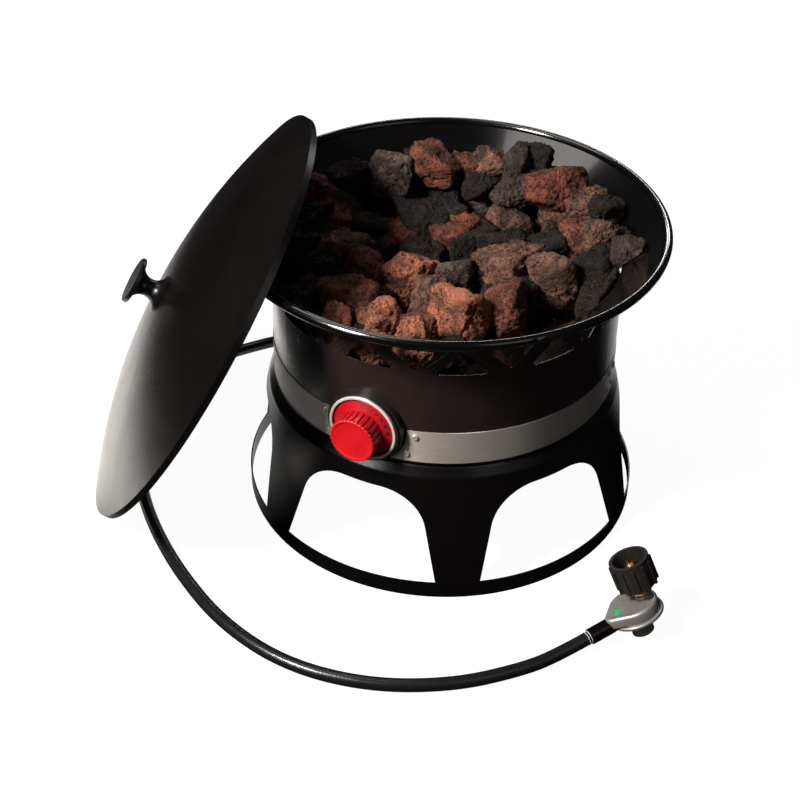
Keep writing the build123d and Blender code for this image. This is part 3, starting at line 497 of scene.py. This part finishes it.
def new_piece(name, mesh, body, slot_name, material=None):
    """Mesh as a piece of a body, in its slot's finish or in one of its own."""
    obj = bpy.data.objects.new(name, mesh)
    bpy.context.scene.collection.objects.link(obj)
    obj.data.materials.append(material or finishes[slot_name])
    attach(obj, body)
    return obj


def mesh_of(name, points, faces, smooth=True):
    mesh = bpy.data.meshes.new(name)
    mesh.from_pydata([tuple(p) for p in points], [], faces)
    mesh.update()
    if smooth:
        mesh.shade_smooth()
    return mesh


def grid_faces(rows, columns, wrap_rows=False, wrap_columns=False):
    """Four-sided faces between points that were made row by row."""
    faces = []
    for i in range(rows if wrap_rows else rows - 1):
        for j in range(columns if wrap_columns else columns - 1):
            i2, j2 = (i + 1) % rows, (j + 1) % columns
            faces.append((i * columns + j, i * columns + j2, i2 * columns + j2, i2 * columns + j))
    return faces


# ---- hose -------------------------------------------------------------------------
hose_r = 6.8 * MM
hose_floor = 6.9 * MM
hose_route = [
    (0, -0.091, 0.128), (0, -0.036, 0.128), (-0.01, 0.016, 0.112), (-0.044, 0.058, 0.084),
    (-0.1, 0.088, 0.06), (-0.16, 0.104, 0.042), (-0.214, 0.116, 0.042), (-0.264, 0.119, 0.022),
    (-0.31, 0.096, hose_floor), (-0.342, 0.046, hose_floor), (-0.352, -0.016, hose_floor),
    (-0.343, -0.08, hose_floor), (-0.315, -0.144, hose_floor), (-0.272, -0.2, hose_floor),
    (-0.222, -0.248, hose_floor), (-0.16, -0.294, hose_floor), (-0.084, -0.336, hose_floor),
    (0, -0.356, hose_floor), (0.084, -0.344, hose_floor), (0.158, -0.306, hose_floor),
    (0.21, -0.256, hose_floor), (0.23403, -0.22249, 0.00746), (0.25568, -0.19227, 0.01536),
]


def make_hose():
    """Hose from the burner's valve, out through an arch, round on the floor and up to the regulator."""
    curve = bpy.data.curves.new("gas_hose_line", "CURVE")
    curve.dimensions = "3D"
    spline = curve.splines.new("NURBS")
    spline.points.add(len(hose_route) - 1)
    for point, place in zip(spline.points, hose_route):
        point.co = (*place, 1.0)
    spline.order_u = 3
    spline.use_endpoint_u = True
    curve.resolution_u = 16
    curve.bevel_depth = hose_r
    curve.bevel_resolution = 8
    curve.use_fill_caps = True
    hose = bpy.data.objects.new("hose", curve)
    bpy.context.scene.collection.objects.link(hose)
    curve.materials.append(finishes["hose_rubber"])
    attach(hose, "fire_pit")
    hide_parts("gas_hose")
    return hose


def ring_about(name, middle, axis, radius, thick, body, slot_name, material=None):
    """Torus of a round section about an axis."""
    turn = Vector(axis).to_track_quat("Z", "Y").to_matrix().to_4x4()
    place = Matrix.Translation(middle) @ turn
    rows, columns = 48, 12
    points = []
    for i in range(rows):
        a = 2 * math.pi * i / rows
        for j in range(columns):
            b = 2 * math.pi * j / columns
            reach = radius + thick * math.cos(b)
            points.append(place @ Vector((reach * math.cos(a), reach * math.sin(a), thick * math.sin(b))))
    mesh = mesh_of(name, points, grid_faces(rows, columns, True, True))
    return new_piece(name, mesh, body, slot_name, material)


def pale_print():
    finish = Finish("pale_print")
    worn = finish.ramp(finish.noise(finish.place(), 600.0, 3.0), 0.3, 0.5)
    finish.set(Base_Color=finish.mix(worn, rgba(0.45, 0.44, 0.42), rgba(0.85, 0.84, 0.82)), Roughness=0.4)
    finish.bump(finish.noise(finish.place(), 900.0), 0.00002)
    return finish.material


print_ring_first = 0.8 * MM
print_ring_gap = 2.7 * MM
print_ring_lift = 0.05 * MM
print_ring_thick = 0.3 * MM


def make_hose_rings():
    """Two pale printed rings where the hose enters the outlet's ferrule."""
    end, before = Vector(hose_route[-1]), Vector(hose_route[-2])
    back = (before - end).normalized()
    material = pale_print()
    rings = []
    for i in range(2):
        middle = end + back * (print_ring_first + i * print_ring_gap)
        rings.append(ring_about(f"hose_ring_{i + 1}", middle, back, hose_r + print_ring_lift,
                                print_ring_thick, "fire_pit", "ferrule_black", material))
    return rings


hose = make_hose()
hose_rings = make_hose_rings()


# ---- lava rocks ---------------------------------------------------------------------
tints_low = [
    "rust", "orange", "orange", "orange", "rust", "brown", "grey", "brown", "rust",
    "brown", "brown", "dark", "rust", "rust", "dark", "brown", "dark", "brown",
    "dark", "brown", "grey", "orange", "orange", "orange", "dark",
]
tints_high = [
    "rust", "grey", "dark", "rust", "brown", "grey", "dark", "rust", "dark", "grey", "brown", "dark", "brown",
]


def stones_of(node):
    """Each stone of a CAD node: its middle, and its face planes, the largest first."""
    bm = bmesh.new()
    bm.from_mesh(nodes[node].data)
    bmesh.ops.remove_doubles(bm, verts=bm.verts, dist=0.01 * MM)
    bm.faces.ensure_lookup_table()
    seen, stones = set(), []
    for start in bm.faces:
        if start.index in seen:
            continue
        found, queue = [], [start]
        seen.add(start.index)
        while queue:
            face = queue.pop()
            found.append(face)
            for edge in face.edges:
                for other in edge.link_faces:
                    if other.index not in seen:
                        seen.add(other.index)
                        queue.append(other)
        corners = {v.index: v.co.copy() for f in found for v in f.verts}
        middle = sum(corners.values(), Vector()) / len(corners)
        planes = {}
        for face in found:
            key = tuple(round(x, 1) for x in face.normal)
            area, normal, offset = planes.get(key, (0.0, face.normal.copy(), 0.0))
            planes[key] = (area + face.calc_area(), normal, face.normal.dot(face.verts[0].co - middle))
        planes = sorted(planes.values(), key=lambda plane: -plane[0])
        stones.append((middle, [(normal, offset) for _, normal, offset in planes]))
    bm.free()
    return stones


def block_planes(length, width, height, turn):
    """Six face planes of a block turned about the upright."""
    spin = Matrix.Rotation(math.radians(turn), 3, "Z")
    planes = []
    for axis, size in enumerate((length, width, height)):
        for sign in (-1, 1):
            normal = Vector((0, 0, 0))
            normal[axis] = sign
            planes.append((spin @ normal, size / 2 * MM))
    return planes


stone_grow = 1.54            # the stones are this much larger than their CAD blocks and lean on each other
wall_stone_grow = 1.3
high_lift = 7.0 * MM         # the upper stones sit this much higher, on the grown lower ones
wall_r = body_r - 3.4 * MM
flare_low_z = rim_top_z - 32.0 * MM
flare_run = 1.4              # outwards for each unit of rise
pan_top_z = stones_low_z - 0.2 * MM

# how a stone is broken from its block
main_faces = 6
face_tilt = 0.2
face_share = (0.88, 1.04)    # where a main face ends up, as a share of its distance
small_face_share = 1.16
struck_off = 7
struck_share = (0.66, 0.92)
least_facing = 0.05
edge_sharpness = 48

# roughness of a broken stone; the first two go by its own size
lump_share, lump_scale = 0.16, 1.3
groove_share, groove_width, groove_scale = 0.11, 0.12, 1.7
crumb_height, crumb_scale = 1.7 * MM, 230
pit_depth, pit_reach, pit_scale = 4.2 * MM, 0.4, 190


def keep_in_bowl(point):
    """Moves a point back inside the bowl's wall and up onto the pan."""
    limit = wall_r + max(0.0, point.z - flare_low_z) * flare_run
    reach = math.hypot(point.x, point.y)
    if reach > limit:
        point.x *= limit / reach
        point.y *= limit / reach
    point.z = max(point.z, pan_top_z)
    return point


def support(planes, way):
    """How far a body of planes reaches along a direction."""
    return min(offset / normal.dot(way) for normal, offset in planes if normal.dot(way) > least_facing)


def stone_mesh(name, middle, planes, grow, seed):
    """Broken lump: a block's flats, its corners and edges struck off, then lumps, crumbs and bubbles."""
    rng = random.Random(seed)
    planes = [(normal, offset * grow) for normal, offset in planes]
    size = sum(offset for _, offset in planes[:main_faces]) / main_faces
    cuts = []
    for rank, (normal, offset) in enumerate(planes):
        tilt = Vector([rng.uniform(-face_tilt, face_tilt) for _ in range(3)])
        share = rng.uniform(*face_share) if rank < main_faces else small_face_share
        cuts.append(((normal + tilt).normalized(), offset * share))
    for _ in range(struck_off):
        way = Vector([rng.gauss(0, 1) for _ in range(3)]).normalized()
        cuts.append((way, support(planes, way) * rng.uniform(*struck_share)))
    bm = bmesh.new()
    bmesh.ops.create_icosphere(bm, subdivisions=5, radius=1.0)
    ways = np.array([v.co for v in bm.verts])
    facing = np.clip(ways @ np.array([normal for normal, _ in cuts]).T, 1e-3, None)
    nearness = (facing / np.array([offset for _, offset in cuts])) ** edge_sharpness
    reach = nearness.sum(1) ** (-1 / edge_sharpness)
    shift = Vector([rng.uniform(-50, 50) for _ in range(3)])
    for vert, way, distance in zip(bm.verts, ways, reach):
        way = Vector(way)
        point = way * distance
        lump = lump_share * size * noise.noise(point / size * lump_scale + shift)
        ridge = abs(noise.noise(point / size * groove_scale + shift * 2))
        groove = groove_share * size * max(0.0, groove_width - ridge) / groove_width
        crumb = crumb_height * noise.fractal(point * crumb_scale + shift, 0.6, 2.1, 5)
        pit = pit_depth * max(0.0, pit_reach - noise.voronoi(point * pit_scale + shift)[0][0])
        vert.co = keep_in_bowl(Vector(middle) + way * (distance + lump - groove + crumb - pit))
    mesh = bpy.data.meshes.new(name)
    bm.to_mesh(mesh)
    bm.free()
    mesh.shade_smooth()
    return mesh


# middle, block sizes in mm, turn and tint of the stones along the wall and in the gaps between the others;
# the dark tint on the stones in the gaps is painted shade between the stones
wall_stones = [
    ((0.176, 0.062, 0.302), (30, 24, 26), 20, "grey"), ((0.148, 0.088, 0.284), (34, 28, 40), 50, "dark"),
    ((0.15, 0.05, 0.27), (30, 30, 40), 10, "dark"), ((0.128, 0.122, 0.288), (40, 30, 46), 45, "dark"),
    ((0.112, 0.09, 0.276), (40, 34, 36), 20, "rust"), ((0.158, 0.012, 0.262), (24, 26, 34), 80, "dark"),
    ((0.094, 0.146, 0.29), (40, 30, 42), 30, "brown"), ((-0.158, 0.076, 0.284), (34, 30, 40), 60, "dark"),
    ((-0.148, 0.02, 0.276), (34, 34, 36), 30, "rust"), ((-0.139, -0.024, 0.268), (36, 34, 40), 10, "dark"),
    ((-0.118, -0.064, 0.262), (38, 34, 40), 40, "dark"), ((-0.154, -0.05, 0.268), (30, 30, 44), 70, "dark"),
    ((-0.06, -0.15, 0.256), (34, 26, 36), 20, "orange"), ((-0.108, -0.116, 0.258), (36, 30, 40), 60, "dark"),
    ((-0.1, 0.15, 0.282), (42, 34, 44), 60, "dark"), ((-0.135, 0.112, 0.28), (40, 30, 40), 50, "dark"),
    ((-0.04, 0.166, 0.28), (40, 30, 50), 5, "rust"), ((0.02, 0.166, 0.282), (44, 30, 50), 175, "brown"),
    ((0.056, 0.164, 0.286), (40, 30, 46), 20, "dark"), ((0.0, 0.06, 0.262), (44, 40, 40), 30, "dark"),
    ((-0.04, 0.08, 0.266), (40, 36, 44), 70, "dark"), ((0.04, 0.074, 0.264), (44, 40, 40), 10, "dark"),
    ((0.08, 0.07, 0.266), (40, 36, 44), 50, "dark"), ((-0.036, 0.016, 0.26), (40, 36, 36), 30, "dark"),
    ((-0.1, 0.03, 0.262), (40, 36, 40), 30, "dark"), ((-0.084, -0.075, 0.254), (36, 32, 30), 15, "dark"),
    ((0.03, 0.02, 0.254), (36, 30, 30), 15, "dark"), ((-0.052, -0.078, 0.252), (36, 30, 28), 75, "dark"),
    ((0.07, -0.02, 0.254), (34, 30, 30), 35, "dark"), ((0.02, -0.1, 0.252), (36, 30, 28), 65, "rust"),
    ((-0.006, -0.032, 0.25), (34, 30, 26), 5, "dark"), ((0.084, 0.0, 0.256), (30, 30, 34), 5, "dark"),
    ((-0.03, -0.128, 0.252), (34, 28, 28), 12, "dark"), ((0.06, -0.112, 0.25), (26, 24, 24), 42, "dark"),
    ((-0.158, 0.03, 0.29), (40, 34, 34), 15, "rust"), ((-0.05, 0.05, 0.281), (44, 38, 34), 35, "dark"),
    ((-0.16, -0.012, 0.285), (36, 30, 34), 70, "dark"),
]


def make_lava_rocks():
    """A broken stone for each CAD stone, then the stones along the wall and in the gaps, these mostly in the
    dark tint as painted shade.
    """
    number = 0
    for node, tints, lift in (("lava_rocks_low", tints_low, 0.0), ("lava_rocks_high", tints_high, high_lift)):
        for (middle, planes), tint in zip(stones_of(node), tints):
            number += 1
            name = f"lava_rock_{number:02d}"
            mesh = stone_mesh(name, middle + Vector((0, 0, lift)), planes, stone_grow, number)
            stone = new_piece(name, mesh, "fire_pit", "lava_rock", stone_finishes[tint])
            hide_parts(node)
    for middle, sizes, turn, tint in wall_stones:
        number += 1
        name = f"lava_rock_{number:02d}"
        mesh = stone_mesh(name, Vector(middle), block_planes(*sizes, turn), wall_stone_grow, number)
        new_piece(name, mesh, "fire_pit", "lava_rock", stone_finishes[tint])


make_lava_rocks()


# ---- vent ribs ------------------------------------------------------------------------
vent_count = 12
rib_low_z, rib_high_z = 262.0 * MM, 288.5 * MM
rib_low_offset, rib_high_offset = 37.6 * MM, 9.2 * MM
rib_half_w = 4.0 * MM
rib_height = 1.1 * MM
rib_end_w = 0.6              # width at the rib's ends, as a share of its full width
rib_end_sink = 0.15 * MM


def make_vent_ribs():
    """Pressed rib with two creases along each slanting bar between the vents."""
    profile = [(-1.0, -0.1), (-0.72, 0.55), (-0.5, 1.0), (-0.3, 0.45), (0.0, 0.3),
               (0.3, 0.45), (0.5, 1.0), (0.72, 0.55), (1.0, -0.1)]
    steps = 20
    points, faces = [], []
    for k in range(vent_count):
        for side in (-1, 1):
            low = Vector((side * rib_low_offset, rib_low_z))
            high = Vector((side * rib_high_offset, rib_high_z))
            along = (high - low).normalized()
            across = Vector((-along.y, along.x))
            first = len(points)
            for i in range(steps + 1):
                t = i / steps
                fade = min(1.0, 6 * t, 6 * (1 - t)) ** 0.5
                centre = low.lerp(high, t)
                for u, h in profile:
                    flat = centre + across * u * rib_half_w * (rib_end_w + (1 - rib_end_w) * fade)
                    az = 360 / vent_count * k + math.degrees(flat.x / body_r)
                    lift = h * rib_height * fade - rib_end_sink * (1 - fade)
                    points.append(on_bowl(az, body_r + lift, flat.y))
            faces += [tuple(first + v for v in face) for face in grid_faces(steps + 1, len(profile))]
    new_piece("vent_ribs", mesh_of("vent_ribs", points, faces), "fire_pit", "body_enamel")


make_vent_ribs()


# ---- knob -------------------------------------------------------------------------------
scallops = 32
scallop_depth = 0.9 * MM


def knob_point(radius, angle, y):
    """Point on the knob, its angle clockwise from the top as the user sees it."""
    return Vector((radius * math.sin(angle), y, knob_z + radius * math.cos(angle)))


def make_knob_cap():
    """Cap with a scalloped edge and a shallow dished face with a raised lip."""
    back, front = cap_high.y, cap_low.y
    # radius, depth, and share of the scallops, from the back round the lip to the middle of the face
    profile = [
        (0.0, back, 0), (cap_r - 0.6 * MM, back, 1), (cap_r, back - 0.4 * MM, 1),
        (cap_r, front + 1.0 * MM, 1),
        (cap_r - 0.25 * MM, front + 0.4 * MM, 1), (cap_r - 0.8 * MM, front + 0.08 * MM, 0.6),
        (cap_r - 1.6 * MM, front, 0.2), (cap_r - 2.6 * MM, front + 0.03 * MM, 0),
        (cap_r - 3.2 * MM, front + 0.3 * MM, 0), (cap_r - 3.8 * MM, front + 0.72 * MM, 0),
        (cap_r - 4.6 * MM, front + 0.82 * MM, 0), (cap_r * 0.5, front + 0.62 * MM, 0),
        (0.0, front + 0.55 * MM, 0),
    ]
    columns = scallops * 8
    points = []
    for radius, y, share in profile:
        for j in range(columns):
            angle = 2 * math.pi * j / columns
            wave = scallop_depth * share * (1 - abs(math.cos(scallops / 2 * angle)) ** 0.7)
            points.append(knob_point(max(radius - wave, 0.02 * MM), angle, y))
    cap = new_piece("knob_cap_scalloped", mesh_of("knob_cap_scalloped", points,
                    grid_faces(len(profile), columns, wrap_columns=True)), "knob", "red_plastic")
    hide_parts("knob_cap")


mark_lift = 0.07 * MM
dial_flat = 1.6 * MM
mark_ring_r = 28.2 * MM
square_marks = [(13, 1.5), (22, 2.2), (35, 3.0), (50, 3.6), (66, 4.0), (83, 4.2)]     # degrees, side in mm
square_depth = 0.8           # share of the side that the squares take along the radius
off_ring_out, off_ring_in = 2.5 * MM, 1.6 * MM
off_bar_half_l, off_bar_half_w = 1.3 * MM, 0.35 * MM


def dial_surface(radius):
    """Depth of the dial's cone at a radius."""
    edge_y = dial_high.y - dial_flat
    return edge_y + (dial_low.y - edge_y) * (dial_r - radius) / (dial_r - grip_r) - mark_lift


def dial_print():
    """Black printing ink, a little worn."""
    finish = Finish("dial_print")
    worn = finish.ramp(finish.noise(finish.place(), 900.0, 3.0), 0.35, 0.6)
    ink = finish.mix(worn, rgba(0.05, 0.012, 0.012), rgba(0.025, 0.012, 0.012))
    finish.set(Base_Color=ink, Roughness=0.42)
    finish.bump(finish.noise(finish.place(), 1200.0), 0.00002)
    return finish.material


def make_dial_marks():
    """Setting marks printed on the dial: a ring for off, then squares that grow."""
    points, faces = [], []

    def add_patch(rows, columns, corner):
        first = len(points)
        for i in range(rows):
            for j in range(columns):
                radius, angle = corner(i / (rows - 1), j / (columns - 1))
                points.append(knob_point(radius, angle, dial_surface(radius)))
        faces.extend(tuple(first + v for v in face) for face in grid_faces(rows, columns))

    for degrees, size in square_marks:
        half = size / 2 * MM
        middle = math.radians(degrees)
        add_patch(4, 4, lambda u, v: (mark_ring_r + half * (2 * u - 1) * square_depth,
                                      middle + half / mark_ring_r * (2 * v - 1)))

    def ring_patch(u, v):
        reach = off_ring_in + (off_ring_out - off_ring_in) * u
        turn = 2 * math.pi * v
        return mark_ring_r + reach * math.cos(turn), reach * math.sin(turn) / mark_ring_r

    add_patch(3, 33, ring_patch)
    add_patch(3, 3, lambda u, v: (mark_ring_r + (2 * u - 1) * off_bar_half_l,
                                  (2 * v - 1) * off_bar_half_w / mark_ring_r))
    new_piece("dial_marks", mesh_of("dial_marks", points, faces), "knob", "red_plastic", dial_print())


make_knob_cap()
make_dial_marks()


# ---- return spring ------------------------------------------------------------------------
spring_wire_r = 0.55 * MM
spring_turns = 5


def make_return_spring():
    """Coil between the valve and the stem, wound from its inner end to its outer end."""
    low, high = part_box("return_spring")
    radius = (high.x - low.x) / 2 - spring_wire_r
    steps, sides = spring_turns * 36, 10
    inner_y, outer_y = high.y - spring_wire_r, low.y + spring_wire_r
    points = []
    for i in range(steps + 1):
        turn = 2 * math.pi * spring_turns * i / steps
        y = inner_y + (outer_y - inner_y) * i / steps
        for j in range(sides):
            around = 2 * math.pi * j / sides
            reach = radius + spring_wire_r * math.cos(around)
            points.append(knob_point(reach, turn, y + spring_wire_r * math.sin(around)))
    faces = grid_faces(steps + 1, sides, wrap_columns=True)
    faces.append(tuple(range(sides)))
    faces.append(tuple(steps * sides + j for j in reversed(range(sides))))
    coil = bpy.data.objects.new("return_spring_coil", mesh_of("return_spring_coil", points, faces))
    bpy.context.scene.collection.objects.link(coil)
    coil.data.materials.append(finishes["spring_steel"])
    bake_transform(coil)
    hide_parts("return_spring")


make_return_spring()


# ---- regulator ----------------------------------------------------------------------------
regulator_middle = Vector((0.287, -0.1485, 0.0268))
regulator_lean = math.radians(26.0)
regulator_heading = Vector((-0.58, -0.81, 0))
# inset from the plate's outline and height above the castings' joint, in mm
face_layers = [(0.0, 2.0), (0.0, 9.2), (0.5, 10.4), (1.3, 11.4), (2.4, 12.0), (3.2, 12.2), (4.0, 12.0),
               (4.6, 11.7), (12.0, 11.65)]
face_r, outlet_r, outlet_reach = 25.6, 9.2, 25.0
outlet_inset = 0.95          # the outlet's end draws in by this share of the plate's inset
least_outlet_r = 0.6
dab_r = 4.6 * MM
dab_low, dab_thick = 11.75 * MM, 0.35 * MM
dab_along, dab_across = 19.0 * MM, -1.0 * MM


def regulator_frame():
    """Placement of the leaning regulator: X towards its outlet, Z out of its upper face."""
    normal = Vector((-math.sin(regulator_lean), 0, math.cos(regulator_lean)))
    along = (regulator_heading - normal * regulator_heading.dot(normal)).normalized()
    across = normal.cross(along)
    turn = Matrix((along, across, normal)).transposed().to_4x4()
    return Matrix.Translation(regulator_middle) @ turn


def teardrop(big_r, small_r, reach, steps=96):
    """Outline of a round plate drawn out to a narrow outlet: two arcs and their tangents."""
    tangent = math.acos((big_r - small_r) / reach)
    outline = []
    for i in range(steps):
        a = tangent + (2 * math.pi - 2 * tangent) * i / (steps - 1)
        outline.append(Vector((big_r * math.cos(a), big_r * math.sin(a))))
    for i in range(steps // 4):
        a = -tangent + 2 * tangent * i / (steps // 4 - 1)
        outline.append(Vector((reach + small_r * math.cos(a), small_r * math.sin(a))))
    return outline


def make_regulator_face():
    """Upper casting's face: a teardrop plate with a raised border round a sunk flat."""
    place = regulator_frame()
    points = []
    for inset, z in face_layers:
        end_r = max(outlet_r - inset * outlet_inset, least_outlet_r)
        outline = teardrop((face_r - inset) * MM, end_r * MM, outlet_reach * MM)
        points += [place @ Vector((p.x, p.y, z * MM)) for p in outline]
    columns = len(outline)
    faces = grid_faces(len(face_layers), columns, wrap_columns=True)
    faces.append(tuple((len(face_layers) - 1) * columns + j for j in range(columns)))
    new_piece("regulator_face", mesh_of("regulator_face", points, faces), "fire_pit", "regulator_zinc")


def green_paint():
    """Green paint put on by brush, thin in places."""
    finish = Finish("green_paint")
    worn = finish.ramp(finish.noise(finish.place(), 700.0, 4.0, 0.7), 0.42, 0.62)
    finish.set(Base_Color=finish.mix(worn, rgba(0.008, 0.2, 0.045), rgba(0.06, 0.6, 0.17)), Roughness=0.4)
    finish.bump(finish.noise(finish.place(), 900.0), 0.0001)
    return finish.material


def make_green_mark():
    """Uneven round dab of paint on the regulator's upper face."""
    place = regulator_frame()
    rows, columns = 5, 40
    points = []
    for i in range(rows):
        share = i / (rows - 1)
        for j in range(columns):
            a = 2 * math.pi * j / columns
            edge = 1 + 0.1 * math.sin(3 * a + 1) + 0.05 * math.sin(7 * a)
            reach = max(share, 0.01) * dab_r * edge
            lift = dab_low + dab_thick * (1 - share ** 3)
            along, across = dab_along + reach * math.cos(a), dab_across + reach * math.sin(a)
            points.append(place @ Vector((along, across, lift)))
    faces = [face[::-1] for face in grid_faces(rows, columns, wrap_columns=True)]
    new_piece("green_mark", mesh_of("green_mark", points, faces), "fire_pit", "regulator_zinc", green_paint())


make_regulator_face()
make_green_mark()


# ---- floor and light --------------------------------------------------------------------------
floor_half = 40.0
# painted reflection: reflections see the floor bright, and glowing, inside the first radius, dim past the
# second, and dim on one side
bright_floor_r, dim_floor_r = 0.55, 0.85
dim_side = (0.72, -0.69, 0.0)
dim_side_from, dim_side_full = -0.16, 0.05
lamp_aim_z = 0.25


class PaintedReflectionFloor(Finish):
    """Pale floor. Reflections in the object see it bright and glowing only behind and beside it, which is a
    painted reflection.
    """

    def __init__(self):
        super().__init__("floor_paint")
        place = self.place()
        side = self.add("ShaderNodeVectorMath", operation="DOT_PRODUCT")
        self.join(place, side.inputs[0])
        side.inputs[1].default_value = dim_side
        away = self.add("ShaderNodeVectorMath", operation="LENGTH")
        self.join(place, away.inputs[0])
        near = self.ramp(away.outputs["Value"], dim_floor_r, bright_floor_r)
        behind = self.ramp(side.outputs["Value"], dim_side_full, dim_side_from)
        lit = self.math("MULTIPLY", near, behind)
        eye = self.add("ShaderNodeLightPath").outputs["Is Camera Ray"]
        lit_colour = self.mix(lit, rgba(0.02, 0.019, 0.018), rgba(0.8, 0.79, 0.77))
        # painted reflection: the floor glows where reflections see it bright, though it is no lamp
        painted_reflection_glow = self.mix(lit, rgba(0, 0, 0), rgba(0.6, 0.59, 0.57))
        self.set(Base_Color=self.mix(eye, lit_colour, rgba(0.14, 0.14, 0.14)), Roughness=0.9,
                 Specular_IOR_Level=0.0, Emission_Color=self.mix(eye, painted_reflection_glow, rgba(0.96, 0.96, 0.96)),
                 Emission_Strength=1.0)


def make_floor():
    corners = [(x * floor_half, y * floor_half, 0) for x, y in ((-1, -1), (1, -1), (1, 1), (-1, 1))]
    floor = bpy.data.objects.new("floor", mesh_of("floor", corners, [(0, 1, 2, 3)], False))
    bpy.context.scene.collection.objects.link(floor)
    floor.data.materials.append(PaintedReflectionFloor().material)


def area_light(name, az, rise, distance, width, height, power, colour=(1, 1, 1), specular=1.0, diffuse=1.0):
    """Panel at an azimuth as in on_bowl and an angle above the level, aimed at the bowl's middle."""
    data = bpy.data.lights.new(name, "AREA")
    data.shape = "RECTANGLE"
    data.size, data.size_y = width, height
    data.energy = power
    data.color = colour
    data.specular_factor = specular
    data.diffuse_factor = diffuse
    lamp = bpy.data.objects.new(name, data)
    bpy.context.scene.collection.objects.link(lamp)
    level, up = distance * math.cos(math.radians(rise)), distance * math.sin(math.radians(rise))
    lamp.location = on_bowl(az, level, lamp_aim_z + up)
    lamp.rotation_mode = "QUATERNION"
    lamp.rotation_quaternion = (Vector((0, 0, lamp_aim_z)) - lamp.location).to_track_quat("-Z", "Y")


def make_world():
    """White all round to the eye, dim in reflections."""
    world = bpy.data.worlds.new("studio")
    bpy.context.scene.world = world
    world.use_nodes = True
    make = Maker(world.node_tree)
    back = world.node_tree.nodes["Background"]
    back.inputs["Color"].default_value = rgba(1.0, 0.99, 0.98)
    eye = make.add("ShaderNodeLightPath").outputs["Is Camera Ray"]
    make.join(make.ramp(eye, 0.0, 1.0, 0.025, 1.0), back.inputs["Strength"])


def make_light():
    """One small key from the front left, and weak panels that draw the highlights."""
    area_light("key_left", az=-28, rise=43, distance=2.2, width=0.45, height=0.45, power=95,
               colour=(1.0, 0.94, 0.88))
    area_light("low_left", az=-21, rise=20, distance=2.2, width=0.5, height=0.2, power=6, diffuse=0.0)
    area_light("back_strip", az=-165, rise=30, distance=2.4, width=1.5, height=0.12, power=9)
    area_light("front_fill", az=62, rise=40, distance=2.4, width=1.2, height=1.2, power=2.5,
               colour=(1.0, 0.97, 0.94), specular=0.25)
    area_light("top_fill", az=-105, rise=66, distance=2.2, width=1.0, height=1.0, power=9,
               colour=(1.0, 0.96, 0.92), specular=0.0)
    bpy.context.scene.view_settings.view_transform = "Standard"


make_floor()
make_world()
make_light()
